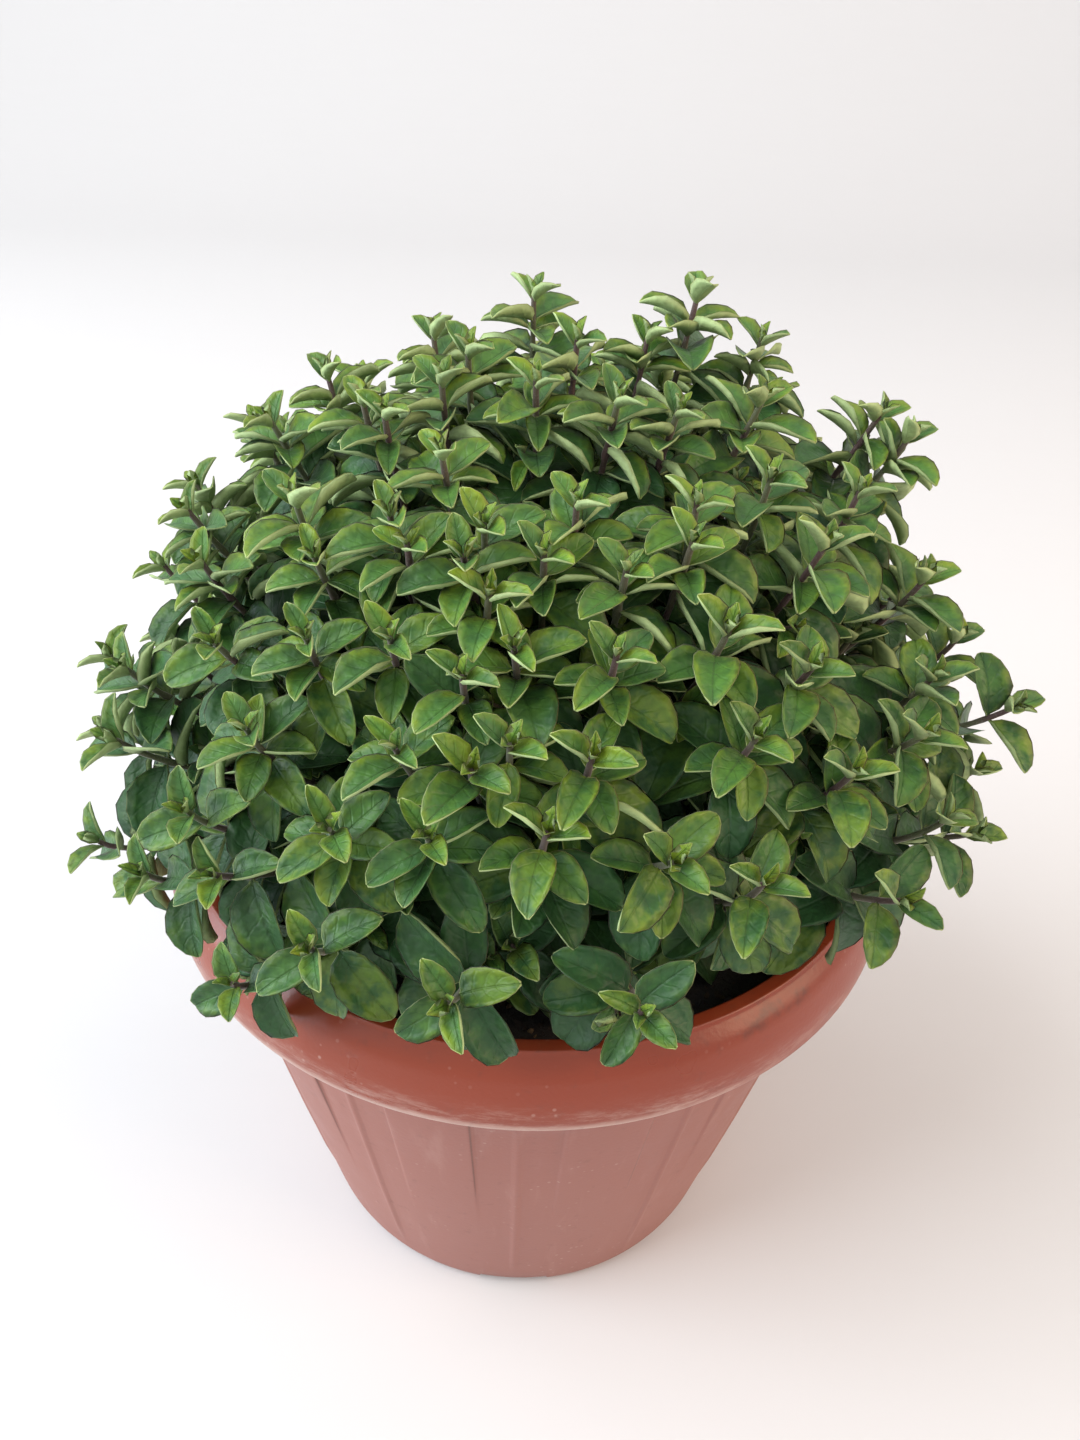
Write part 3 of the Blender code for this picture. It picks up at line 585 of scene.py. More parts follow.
# %% [markdown]
# The real bush also has shoots that hide behind and below those. They matter, because their
# leaves close the gaps and cover the soil. They come in three layers: between the outer tips, a
# little way inside the dome, and as a skirt that leans over the pot's rim. Each new tip keeps
# its distance from all earlier ones.

# %% Hidden shoot tips
OUTER_SPACING = 21.0 * MM
INNER_DEPTH = 0.83
INNER_SPACING = 17.0 * MM
HIDDEN_POINTS = 500
SKIRT_SHOOTS = 30
SKIRT_RADIUS = 90.0 * MM
SKIRT_STAGGER = 3 * MM
SKIRT_HEIGHT = 160.0 * MM
SKIRT_SPACING = 12.0 * MM
SOIL_SHOWS = (math.radians(-24), math.radians(78))
SOIL_SHOWS_BELOW = 176.0 * MM


def over_bare_soil(place):
    """Whether a place is above the soil that the photograph shows at the front."""
    turn = (math.atan2(place.y, place.x) - FRONT + math.pi) % (2 * math.pi) - math.pi
    return SOIL_SHOWS[0] < turn < SOIL_SHOWS[1] and place.z < SOIL_SHOWS_BELOW


def hidden_tips(tips):
    """Tips between, behind and below the ones that are known."""
    grown = list(tips)
    for i in range(SKIRT_SHOOTS):
        turn = 2 * math.pi * i / SKIRT_SHOOTS
        radius = SKIRT_RADIUS + (SKIRT_STAGGER if i % 2 else -SKIRT_STAGGER)
        place = Vector((radius * math.cos(turn), radius * math.sin(turn), SKIRT_HEIGHT))
        if room(place, grown) > SKIRT_SPACING and not over_bare_soil(place):
            grown.append(place)
    for depth, spacing in ((1.0, OUTER_SPACING), (INNER_DEPTH, INNER_SPACING)):
        for point in golden_spiral(HIDDEN_POINTS):
            place = DOME_CENTRE + (point - DOME_CENTRE) * depth
            if place.z > LOWEST_TIP and room(place, grown) > spacing and not over_bare_soil(place):
                grown.append(place)
    return grown[len(tips):]


ADDED_TIPS = [tip for tip in TIPS if tip not in MODELLED_TIPS] + hidden_tips(TIPS)
print("added shoots:", len(ADDED_TIPS))

# %% [markdown]
# ## One shoot's course
#
# A stem leaves the soil upright and bends outwards until it points half up, half out of the
# dome. It could be drawn by hand as a curve object. A cubic Bezier formula bends 230 of them
# with four points each. The leaf pairs sit on it at known distances from the tip, each pair
# turned 90 degrees to the next, so a shoot also keeps the direction of its first leaf. Shoots
# low on the bush carry larger leaves. Shoots low on the bush and inside it get darker, older
# leaf colours, partly for their greater age and partly as painted shade.

# %% Stems
STEM_FOOT_WIDTH = 2.2 * MM
STEM_TIP_WIDTH = 1.1 * MM
ROOT_CIRCLE = 76.0 * MM
ROOT_FAN = math.radians(95)
FOOT_RISE_MM = 3
LOW_BEND = 0.42
HIGH_BEND = 0.36
LOWEST_ARCH = 30.0 * MM
LEAN_OUT = 0.55
LEAN_OUT_ADDED = 0.42
SWAY = 0.12
ADDED_LEAF_SIZE = 0.92
LOW_LEAF_SIZE = 1.12
SMALLER_UP = 0.08
HEIGHT_OF_TOPS = 90.0 * MM
# Inside the bush and low on it, leaf colours turn darker and older: partly age, partly painted shade.
SHADE_INSIDE = 1.4
OLDER_AND_SHADED_LOW_DOWN = 0.30
PLAIN_COLOUR_AT = 0.8
NODE_HEIGHT = 0.9 * MM
SEED = 11


class Shoot:
    """One leafy stem: its centre line from the tip to the root, and its leaf directions."""

    def __init__(self, name, tip, lean_out, leaf_size, rng):
        self.name = name
        self.tip = tip
        self.vigour = rng.uniform(0.9, 1.08)
        up_the_bush = min(max((tip.z - LOWEST_TIP) / HEIGHT_OF_TOPS, 0.0), 1.0)
        self.leaf_size = leaf_size * self.vigour * (LOW_LEAF_SIZE - SMALLER_UP * up_the_bush)
        unit = in_dome(tip)
        # How deep inside the dome the tip lies. This and the tip's height raise the leaves' age, which
        # darkens them: partly real age, partly painted shade.
        self.shade = SHADE_INSIDE * max(0.0, 1.0 - unit.length)
        self.age_and_painted_shade = self.shade + OLDER_AND_SHADED_LOW_DOWN * (PLAIN_COLOUR_AT - up_the_bush)
        unit.normalize()
        outward = Vector(unit[i] / DOME_RADII[i] for i in range(3)).normalized()
        sway = Vector((rng.uniform(-1, 1), rng.uniform(-1, 1), 0)) * SWAY
        self.axis = (lean_out * outward + (1 - lean_out) * UP + sway).normalized()
        polar = math.acos(max(-1.0, min(1.0, unit.z)))
        flat = Vector((unit.x, unit.y, 0))
        flat = flat.normalized() if flat.length > 1e-4 else Vector((1, 0, 0))
        self.root = flat * ROOT_CIRCLE * min(polar / ROOT_FAN, 1.0)
        self.root.z = SOIL_TOP
        uphill = UP - self.axis * self.axis.dot(UP)
        if uphill.length < 0.25:
            uphill = Vector((0, 1, 0)) - self.axis * self.axis.y
        turn = math.radians(45 + rng.uniform(-14, 14))
        self.leaf_side = Matrix.Rotation(turn, 3, self.axis) @ uphill.normalized()
        self.make_line()

    def make_line(self):
        """The four points of the centre line's curve."""
        foot = self.root + UP * FOOT_RISE_MM * MM
        reach = (self.tip - foot).length
        bend_low = foot + UP * max(reach * LOW_BEND, LOWEST_ARCH)
        bend_high = self.tip - self.axis * reach * HIGH_BEND
        self.curve = (self.tip, bend_high, bend_low, foot)

    def at(self, share):
        """Centre line: 0 at the tip, 1 where the stem leaves the soil."""
        a, b, c, d = self.curve
        rest = 1 - share
        return rest**3 * a + 3 * rest**2 * share * b + 3 * rest * share**2 * c + share**3 * d

    def measure(self, steps=200):
        """Walks down the stem once, and notes each step's distance, place and leaf side."""
        self.steps = []
        side = self.leaf_side
        walked = 0.0
        last = self.at(0.0)
        for k in range(steps + 1):
            here = self.at(k / steps)
            walked += (here - last).length
            along = (self.at(max(k / steps - 0.01, 0.0)) - self.at(min(k / steps + 0.01, 1.0))).normalized()
            side = (side - along * side.dot(along)).normalized()
            self.steps.append((walked, here, along, side))
            last = here
        self.length = walked

    def place(self, distance):
        """Centre, direction towards the tip, and leaf side at a distance down the stem."""
        for walked, here, along, side in self.steps:
            if walked >= distance:
                return here, along, side
        return self.steps[-1][1:]

    def half_width(self, distance):
        """Half of the stem's width at a distance down it."""
        share = min(distance / self.length, 1.0)
        return (STEM_TIP_WIDTH + (STEM_FOOT_WIDTH - STEM_TIP_WIDTH) * share) / 2


print("lean of modelled and added shoots:", LEAN_OUT, LEAN_OUT_ADDED)

# %% [markdown]
# Stems that start near each other can cross. A physics run could part them, but rounds of small
# nudges do the same: where two centre lines pass too near, both roots move a little away from
# each other. The modelled shoots stand still while the added ones find their places.

# %% Stems that keep apart
STEM_SPACING = 5.0 * MM
NUDGE_MM = 0.6
NUDGE_ROUNDS = 60


def push_apart(one, other, still=False):
    """Nudges the roots of two stems that pass too near. A still one stays put."""
    moved = False
    for share in (0.25, 0.4, 0.55, 0.7, 0.85, 1.0):
        here = one.at(share)
        for offset in (-0.08, -0.04, 0.0, 0.04, 0.08):
            apart = here - other.at(min(share + offset, 1.0))
            if apart.length < STEM_SPACING:
                push = Vector((apart.x, apart.y, 0))
                push = push.normalized() * NUDGE_MM * MM if push.length else Vector((NUDGE_MM * MM, 0, 0))
                one.root += push
                one.make_line()
                if not still:
                    other.root -= push
                    other.make_line()
                moved = True
                here = one.at(share)
    return moved


def keep_apart(shoots, still=()):
    """Goes over all pairs of stems until none pass too near, or the rounds are used up."""
    for _ in range(NUDGE_ROUNDS):
        moved = False
        for i, one in enumerate(shoots):
            for other in shoots[i + 1:]:
                moved = push_apart(one, other) or moved
            for other in still:
                moved = push_apart(one, other, still=True) or moved
        if not moved:
            break


rng = random.Random(SEED)
modelled_shoots = [Shoot(name, tip, LEAN_OUT, 1.0, rng) for name, tip in zip(MODELLED, MODELLED_TIPS)]
keep_apart(modelled_shoots)
rng = random.Random(SEED + 1)
added_shoots = [
    Shoot(f"added_{i:03d}", tip, LEAN_OUT_ADDED, ADDED_LEAF_SIZE, rng)
    for i, tip in enumerate(ADDED_TIPS, start=1)
]
keep_apart(added_shoots, still=modelled_shoots)
SHOOTS = modelled_shoots + added_shoots
for shoot in SHOOTS:
    shoot.measure()
print("shoots:", len(SHOOTS), "stem length, mm:", round(1000 * sum(s.length for s in SHOOTS)))

# %% [markdown]
# ## One leaf's shape
#
# A leaf is a thin closed blade: a short stalk, a round base, widest before the middle, and a
# blunt point. Across, it is cupped: its slope grows from the midrib to the rim, so the rim
# stands up like a spoon's. Young leaves are deep spoons, old ones are flatter, hang back and
# ripple at the rim. Sculpting one leaf would give one shape, and a formula gives as many as the
# plant needs. A grid of a few dozen faces holds it, with its rows closer together where the
# outline turns, because the veins are in the shader. The two faces share their rim, so the
# blade is closed.

# %% Leaf shapes
LEAF_WIDEST = 0.44
BASE_ROUNDNESS = 2.1
BASE_FULLNESS = 0.64
TIP_ROUNDNESS = 2.0
SLENDERNESS = (1.40, 1.28, 1.60)
LEAF_FOLD = (12.0, 9.0, 7.0)
LEAF_CUP = (70.0, 62.0, 26.0)
CUP_ONSET = 1.25
LEAF_RECURVE = (14.0, 34.0, 50.0)
TIP_SHARPNESS = (0.72, 0.64, 0.57)
HALF_GROWN_AGE = 0.4
RIPPLES = 3.4
RIPPLE_SHIFT = 1.9
LEAF_THICKNESS = 0.42 * MM
THICK_FROM = 14.0 * MM
STALK_WIDTH = 0.9 * MM
WIDE_STALK_FROM = 16.0 * MM
HALF_GROWN = 12.0 * MM
BARELY_OPEN = 7.5 * MM
SHEET_ROWS = (0.14, 0.35, 0.6, 0.85, 1.0)
SHEET_COLUMNS = (-1.0, -0.5, 0.0, 0.5, 1.0)
VARIANTS = 6


def by_age(values, age):
    """A value between those of a bud's leaf, a half grown leaf and an old leaf."""
    young, middle, old = values
    if age < HALF_GROWN_AGE:
        return young + (middle - young) * age / HALF_GROWN_AGE
    return middle + (old - middle) * (min(age, 1.0) - HALF_GROWN_AGE) / (1 - HALF_GROWN_AGE)


def outline(u, sharpness):
    """Half of the blade's width as a share of its greatest."""
    if u <= 0.0 or u >= 1.0:
        return 0.0
    if u < LEAF_WIDEST:
        return (1 - ((LEAF_WIDEST - u) / LEAF_WIDEST) ** BASE_ROUNDNESS) ** BASE_FULLNESS
    return (1 - ((u - LEAF_WIDEST) / (1 - LEAF_WIDEST)) ** TIP_ROUNDNESS) ** sharpness


def to_mesh(bm, name):
    """A mesh from a work mesh, which is freed."""
    made = bpy.data.meshes.new(name)
    bm.to_mesh(made)
    bm.free()
    return made


class Blade:
    """The shape of one kind of leaf, in its own frame: X along it, Y across it, Z its upper face."""

    def __init__(self, length, age, rng):
        self.length = length
        self.age = age
        self.sharpness = by_age(TIP_SHARPNESS, age) * rng.uniform(0.94, 1.08)
        self.stalk = 0.02 + 0.06 * age
        self.fold = math.radians(by_age(LEAF_FOLD, age)) * rng.uniform(0.7, 1.3)
        self.cup = math.radians(by_age(LEAF_CUP, age)) * rng.uniform(0.75, 1.25)
        self.recurve = math.radians(by_age(LEAF_RECURVE, age) + rng.uniform(-12, 12))
        self.full = length / by_age(SLENDERNESS, age) / 2 * rng.uniform(0.93, 1.06)
        self.ripple = (0.15 + 0.45 * age) * MM * rng.uniform(0.4, 1.3)
        self.ripple_phase = rng.uniform(0, 2 * math.pi)
        self.roll = math.radians(rng.uniform(-18, 18))
        self.twist = math.radians(rng.uniform(-24, 24))
        self.sweep = rng.uniform(-0.09, 0.09)

    def width(self, u):
        """Half of the width at u, with a narrow stalk before the blade opens."""
        blade = (u - self.stalk) / (1 - self.stalk)
        stalk = STALK_WIDTH / 2 * min(self.length / WIDE_STALK_FROM, 1.0)
        return max(outline(blade, self.sharpness) * self.full, stalk if u < 0.5 else 0.0)

    def section(self, v, steps=8):
        """How far out and how high the cupped section reaches, for a half width of 1."""
        flat = high = 0.0
        for k in range(steps):
            slope = self.fold + self.cup * (abs(v) * (k + 0.5) / steps) ** CUP_ONSET
            flat += math.cos(slope) * abs(v) / steps
            high += math.sin(slope) * abs(v) / steps
        return flat, high

    def point(self, u, v):
        """A point of the middle surface. v runs from -1 to 1 across the blade."""
        bend = self.recurve * u + 1e-4
        run = self.length * u * math.sin(bend) / bend
        drop = self.length * u * (1 - math.cos(bend)) / bend
        flat, high = (self.width(u) * reach for reach in self.section(v))
        shift = RIPPLE_SHIFT if v > 0 else 0.0
        wave = math.sin(RIPPLES * math.pi * u + self.ripple_phase + shift)
        high += self.ripple * abs(v) ** 2.5 * wave * min(6 * u * (1 - u), 1.0)
        flat = math.copysign(flat, v)
        turn = self.roll + self.twist * u
        y = flat * math.cos(turn) - high * math.sin(turn) + self.sweep * self.length * u * u
        z = flat * math.sin(turn) + high * math.cos(turn)
        return Vector((run + z * math.sin(bend), y, z * math.cos(bend) - drop))

    def normal(self, u, v):
        """The middle surface's upward direction."""
        step = 0.01
        du = self.point(min(u + step, 1.0), v) - self.point(max(u - step, 0.0), v)
        dv = self.point(u, min(v + step * 3, 1.0)) - self.point(u, max(v - step * 3, -1.0))
        return du.cross(dv).normalized() if du.cross(dv).length > 1e-14 else UP

    def grid(self):
        """Stations along and across the blade: the smaller the leaf, the fewer."""
        count = 8
        columns = [-1.0, -0.60, 0.0, 0.60, 1.0]
        if self.length < HALF_GROWN:
            count = 6
        if self.length < BARELY_OPEN:
            count = 4
            columns = [-1.0, 0.0, 1.0]
        half_turns = [math.pi * (k + 0.5) / count for k in range(count)]
        rows = [self.stalk + (1 - self.stalk) * (0.5 - 0.5 * math.cos(turn)) for turn in half_turns]
        return [0.0] + rows, columns

    def mesh(self, name):
        """The closed blade, with its map and the numbers that the leaf shader reads."""
        rows, columns = self.grid()
        bm = bmesh.new()
        uv_layer = bm.loops.layers.uv.new("blade")
        edge_layer = bm.verts.layers.float.new("edge")
        under_layer = bm.verts.layers.float.new("under")
        map_at = {}

        def vertex(u, v, lift, under):
            thin = LEAF_THICKNESS / 2 * min(self.length / THICK_FROM, 1.0) * lift
            vert = bm.verts.new(self.point(u, v) + self.normal(u, v) * thin)
            vert[edge_layer] = (1 - abs(v)) * self.width(u) / MM
            vert[under_layer] = under
            map_at[vert] = (0.5 + 0.5 * v, u)
            return vert

        last = len(columns) - 1
        rim = [[vertex(u, columns[c], 0.0, 0.5) for c in (0, last)] for u in rows]
        tip = vertex(1.0, 0.0, 0.0, 0.5)
        sides = {}
        for lift, under in ((1.0, 0.0), (-1.0, 1.0)):
            grid = []
            for r, u in enumerate(rows):
                inner = [vertex(u, v, lift, under) for v in columns[1:-1]]
                grid.append([rim[r][0], *inner, rim[r][1]])
            sides[lift] = grid
            for r in range(len(rows) - 1):
                for c in range(last):
                    corners = [grid[r][c], grid[r + 1][c], grid[r + 1][c + 1], grid[r][c + 1]]
                    bm.faces.new(corners if lift > 0 else corners[::-1])
            for c in range(last):
                corners = [grid[-1][c], tip, grid[-1][c + 1]]
                bm.faces.new(corners if lift > 0 else corners[::-1])
        top, low = sides[1.0][0], sides[-1.0][0]
        bm.faces.new(top + low[1:-1][::-1])
        bmesh.ops.recalc_face_normals(bm, faces=bm.faces)
        for face in bm.faces:
            face.smooth = True
            for loop in face.loops:
                loop[uv_layer].uv = map_at[loop.vert]
        return to_mesh(bm, name)

    def proxy(self):
        """A coarse sheet of the blade, which shows early where two leaves would cross."""
        points = [self.point(u, v) for u in SHEET_ROWS for v in SHEET_COLUMNS]
        width = len(SHEET_COLUMNS)
        faces = []
        for r in range(len(SHEET_ROWS) - 1):
            for c in range(width - 1):
                first = r * width + c
                faces.append((first, first + width, first + width + 1, first + 1))
        return points, faces


tenths = [step / 10 for step in range(11)]
print("outline of an old leaf:", [round(outline(u, TIP_SHARPNESS[2]), 2) for u in tenths])

# %% [markdown]
# Leaves change down a stem. The bud's are small and upright, and further down they grow larger
# and stand out more, until the last ones hang. They could be scaled from one leaf, but then all
# would look alike. So a row of a table gives each pair its length, angle and distance, and
# several shapes are made for it.

# %% Leaf pairs
# Each pair of leaves, from the bud down: length, angle from the stem in degrees, and distance
# down the stem from the pair above. The first pair is the bud, and the last two are old leaves.
LEAF_PAIRS = [
    (5.5 * MM, 18, 0.2 * MM),
    (9.5 * MM, 42, 1.4 * MM),
    (13.5 * MM, 64, 3.6 * MM),
    (17.0 * MM, 78, 6.0 * MM),
    (20.0 * MM, 88, 11.5 * MM),
    (21.5 * MM, 95, 15.0 * MM),
    (22.0 * MM, 100, 15.0 * MM),
    (22.0 * MM, 106, 15.0 * MM),
]
BUD_LENGTHS = [4.0 * MM, 7.0 * MM]


def pair_places(shoot):
    """How far down its stem each pair of leaves sits."""
    places = []
    distance = 0.0
    for pair, (_, _, below) in enumerate(LEAF_PAIRS):
        distance += below * shoot.vigour + (NODE_HEIGHT if pair > 1 else 0.0)
        places.append(distance)
    return places


def leaf_kinds():
    """Several shapes for each pair, and for the two sizes of leaf on side buds."""
    rng = random.Random(SEED + 2)
    kinds = []
    last = len(LEAF_PAIRS) - 1
    for pair, (length, _, _) in enumerate(LEAF_PAIRS):
        kinds.append([Blade(length, pair / last, rng) for _ in range(VARIANTS)])
    for length in BUD_LENGTHS:
        kinds.append([Blade(length, length / (30 * MM), rng) for _ in range(VARIANTS)])
    return kinds


KINDS = leaf_kinds()
print("leaf shapes:", sum(len(kind) for kind in KINDS))

# %% [markdown]
# ## Growing the leaves
#
# Leaves on a real plant grow until they touch a neighbour, then bend. Cloth physics could push
# them apart, but slowly. This loop goes down all shoots pair by pair, and each leaf tries its
# natural place first, then a list of small turns, until its coarse sheet crosses nothing that
# already stands. A grid of cells keeps the test quick, because only near neighbours can touch.

# %% A crowd that can be asked
CELL = 12.0 * MM
# What a leaf without room tries: more turn round its stem and more angle from it, in degrees,
# and a share of its size.
BENDS = [
    (0, 0, 1.0), (10, 0, 1.0), (-10, 0, 1.0), (0, -12, 1.0), (0, 12, 1.0), (16, -8, 0.97),
    (-16, -8, 0.97), (18, 10, 0.95), (-18, 10, 0.95), (0, -24, 0.95), (0, 24, 0.95),
    (26, -16, 0.93), (-26, -16, 0.93), (26, 18, 0.92), (-26, 18, 0.92), (0, -34, 0.9),
    (38, -10, 0.9), (-38, -10, 0.9), (38, 14, 0.9), (-38, 14, 0.9), (0, 38, 0.88), (0, -46, 0.88),
    (50, -22, 0.85), (-50, -22, 0.85), (50, 10, 0.82), (-50, 10, 0.82), (12, -30, 0.78),
    (-12, -30, 0.78), (0, 0, 0.72), (24, 24, 0.72), (-24, 24, 0.72), (34, -40, 0.7),
    (-34, -40, 0.7), (0, -55, 0.7), (62, 0, 0.7), (-62, 0, 0.7), (0, -20, 0.55), (0, 20, 0.55),
]


class Crowd:
    """Everything that stands already, filed by cells of space."""

    def __init__(self):
        self.things = []
        self.cells = {}

    def around(self, points):
        """The cells that a thing with these points may reach."""
        low = [min(point[k] for point in points) for k in range(3)]
        high = [max(point[k] for point in points) for k in range(3)]
        spans = [range(math.floor(low[k] / CELL), math.floor(high[k] / CELL) + 1) for k in range(3)]
        return [(i, j, k) for i in spans[0] for j in spans[1] for k in spans[2]]

    def add(self, points, faces):
        """Files a thing."""
        tree = BVHTree.FromPolygons([tuple(point) for point in points], faces)
        for cell in self.around(points):
            self.cells.setdefault(cell, []).append(len(self.things))
        self.things.append(tree)

    def touches(self, points, faces):
        """Whether a new thing would cross one that stands."""
        near = {thing for cell in self.around(points) for thing in self.cells.get(cell, ())}
        if not near:
            return False
        tree = BVHTree.FromPolygons([tuple(point) for point in points], faces)
        return any(tree.overlap(self.things[thing]) for thing in near)

    def first_that_fits(self, tries):
        """The first tried leaf that touches nothing, which then stands in the crowd too."""
        for leaf in tries:
            sheet = leaf.sheet()
            if not self.touches(*sheet):
                self.add(*sheet)
                return leaf
        return None


crowd = Crowd()
print("tries for each leaf:", len(BENDS))

# %% [markdown]
# The pot, the soil and the stems stand before any leaf grows. A curve object would be slow to
# ask, so each stem stands in the crowd as a plain square tube.

# %% Pot, soil and stems in the crowd


def tube(points, widths):
    """A square tube along a line, as points and faces."""
    corners = []
    for k, point in enumerate(points):
        along = (points[min(k + 1, len(points) - 1)] - points[max(k - 1, 0)]).normalized()
        side = along.orthogonal().normalized()
        other = along.cross(side)
        for quarter in range(4):
            turn = quarter * math.pi / 2
            corners.append(point + widths[k] * (math.cos(turn) * side + math.sin(turn) * other))
    faces = []
    for k in range(len(points) - 1):
        for quarter in range(4):
            after = (quarter + 1) % 4
            faces.append((4 * k + quarter, 4 * k + after, 4 * k + 4 + after, 4 * k + 4 + quarter))
    return corners, faces


def stem_points(shoot, count=16):
    """Points down a stem and its half widths there, from the tip to the end in the soil."""
    points = []
    widths = []
    for k in range(count + 1):
        distance = shoot.length * (k / count) ** 1.4
        points.append(shoot.place(distance)[0])
        widths.append(shoot.half_width(distance))
    points.append(shoot.root - UP * ROOT_DEPTH)
    widths.append(STEM_FOOT_WIDTH / 2)
    return points, widths


for name in ("pot", "soil"):
    plain = frame["nodes"][name].data
    plain.calc_loop_triangles()
    corners = [vert.co.copy() for vert in plain.vertices]
    for tri in plain.loop_triangles:
        crowd.add([corners[v] for v in tri.vertices], [(0, 1, 2)])
for shoot in SHOOTS:
    crowd.add(*tube(*stem_points(shoot)))
print("standing:", len(crowd.things), "things in", len(crowd.cells), "cells")

# %% [markdown]
# A leaf stands on its stem at a turn round it and at an angle from it. Then it rolls about its
# own length, until its upper face looks more towards the brightest sky, as a real leaf's does.

# %% Leaves, pair by pair
LEAF_ROOT_SHARE = 0.7
BRIGHTEST_SKY = Vector((-0.15, 0.08, 1.0))
OPEN_SIDE = 0.25
MOST_ROLL = math.radians(50)
ROLL_OF_YOUNG = 0.32
ROLL_WITH_AGE = 0.04
BARE_FOOT = 4 * MM
TURN_WANDER = 8
SLANT_WANDER = 9
WANDER_OF_YOUNG = 0.3
WANDER_WITH_AGE = 0.175
SIZE_RANGE = (0.92, 1.06)


class Leaf:
    """One leaf in place: its kind, root, turn in space, and size."""

    def __init__(self, kind, variant, root, out, face, size):
        across = face.cross(out).normalized()
        face = out.cross(across).normalized()
        self.kind = kind
        self.variant = variant
        self.size = size
        self.matrix = Matrix((out.normalized(), across, face)).transposed().to_4x4()
        self.matrix.translation = root

    def sheet(self):
        """Its coarse sheet, in place."""
        points, faces = PROXIES[self.kind][self.variant]
        return [self.matrix @ (point * self.size) for point in points], faces


PROXIES = [[blade.proxy() for blade in kind] for kind in KINDS]


def towards_light(out, face, place, share):
    """Rolls a leaf about its own length, so that its upper face turns to the brightest sky."""
    open_sky = (place - DOME_CENTRE).normalized() * OPEN_SIDE + BRIGHTEST_SKY
    level = open_sky - out * open_sky.dot(out)
    if level.length < 0.2:
        return face
    level.normalize()
    angle = math.atan2(out.dot(face.cross(level)), face.dot(level))
    return Matrix.Rotation(max(-MOST_ROLL, min(MOST_ROLL, angle * share)), 3, out) @ face


def try_leaf(shoot, kind, variant, distance, turn, angle, size):
    """A leaf that leaves the stem at a turn round it and an angle from it, both in degrees."""
    centre, along, side = shoot.place(distance)
    flat = Matrix.Rotation(math.radians(turn), 3, along) @ side
    slant = math.radians(angle)
    out = along * math.cos(slant) + flat * math.sin(slant)
    face = along * math.sin(slant) - flat * math.cos(slant)
    root = centre + flat * shoot.half_width(distance) * LEAF_ROOT_SHARE
    share = ROLL_OF_YOUNG + ROLL_WITH_AGE * min(kind, 4) if kind else 0.0
    return Leaf(kind, variant, root, out, towards_light(out, face, root, share), size)


def grow(shoots):
    """Places the leaves of all shoots pair by pair. Returns them, and how many found no room."""
    grown = []
    bare = 0
    places = {shoot.name: pair_places(shoot) for shoot in shoots}
    for pair, (_, angle, _) in enumerate(LEAF_PAIRS):
        loose = WANDER_OF_YOUNG + WANDER_WITH_AGE * max(pair - 1, 0)
        for shoot in shoots:
            distance = places[shoot.name][pair]
            if distance > shoot.length - BARE_FOOT:
                continue
            for half in (0, 1):
                rng = random.Random(f"{SEED} {shoot.name} {pair - 1} {half}")
                turn = 90 * ((pair - 1) % 2) + 180 * half
                turn += rng.uniform(-TURN_WANDER, TURN_WANDER) * loose
                slant = angle + rng.uniform(-SLANT_WANDER, SLANT_WANDER) * loose
                size = rng.uniform(*SIZE_RANGE) * shoot.leaf_size
                variant = rng.randrange(VARIANTS)
                leaf = crowd.first_that_fits(
                    try_leaf(shoot, pair, variant, distance, turn + aside, slant + over, size * share)
                    for aside, over, share in BENDS
                )
                if leaf:
                    grown.append((shoot, leaf))
                else:
                    bare += 1
    return grown, bare


leaves, bare = grow(SHOOTS)
print("leaves:", len(leaves), "places left bare:", bare)

# %% [markdown]
# ## Leaves between the pairs
#
# The measured stems have a pair of leaves every 15 mm. The real ones are closer, and the side
# buds in their crooks open into more leaves. So each outer stem gets leaves between its pairs
# too, an eighth of a turn round from them, wherever one still fits.

# %% Leaves between
# Each row: distance down the stem, kind of leaf, angle from the stem in degrees, share of size.
BETWEEN = [
    (8.4 * MM, 2, 66, 0.90),
    (17.5 * MM, 4, 84, 0.84),
    (30.0 * MM, 5, 92, 0.84),
    (44.5 * MM, 6, 98, 0.86),
    (59.0 * MM, 6, 102, 0.86),
]
CLOSE_LEAVES_ABOVE = 205.0 * MM
FREE_FOOT = 6 * MM
FEWER_BENDS = BENDS[:16]


def grow_between(shoots):
    """Places more leaves on the stems, and returns those that found room."""
    grown = []
    for down, kind, slant, size in BETWEEN:
        for shoot in shoots:
            distance = down * shoot.vigour
            if distance > shoot.length - FREE_FOOT or (kind < 4 and shoot.tip.z < CLOSE_LEAVES_ABOVE):
                continue
            for quarter in range(4):
                rng = random.Random(f"{SEED} {shoot.name} {kind} {down} {quarter}")
                turn = 45 + 90 * quarter + rng.uniform(-10, 10)
                variant = rng.randrange(VARIANTS)
                tilt = slant + rng.uniform(-10, 10)
                leaf = crowd.first_that_fits(
                    try_leaf(
                        shoot, kind, variant, distance + rng.uniform(-1, 1) * MM, turn + aside,
                        tilt + over, size * share * shoot.leaf_size,
                    )
                    for aside, over, share in FEWER_BENDS
                )
                if leaf:
                    grown.append((shoot, leaf))
    return grown


OUTER = [shoot for shoot in SHOOTS if shoot.shade < 0.1]
between = grow_between(OUTER)
leaves += between
print("leaves between:", len(between))

# %% [markdown]
# ## Side shoots
#
# In the crook of each older leaf sits a side shoot: some are tiny, with one or two pairs of
# small leaves, and some have grown out by a centimetre. They fill the plant between its
# rosettes. Copies of one finished side shoot would look alike and cross the leaves round them,
# so each is grown leaf by leaf, and only where it still finds room.

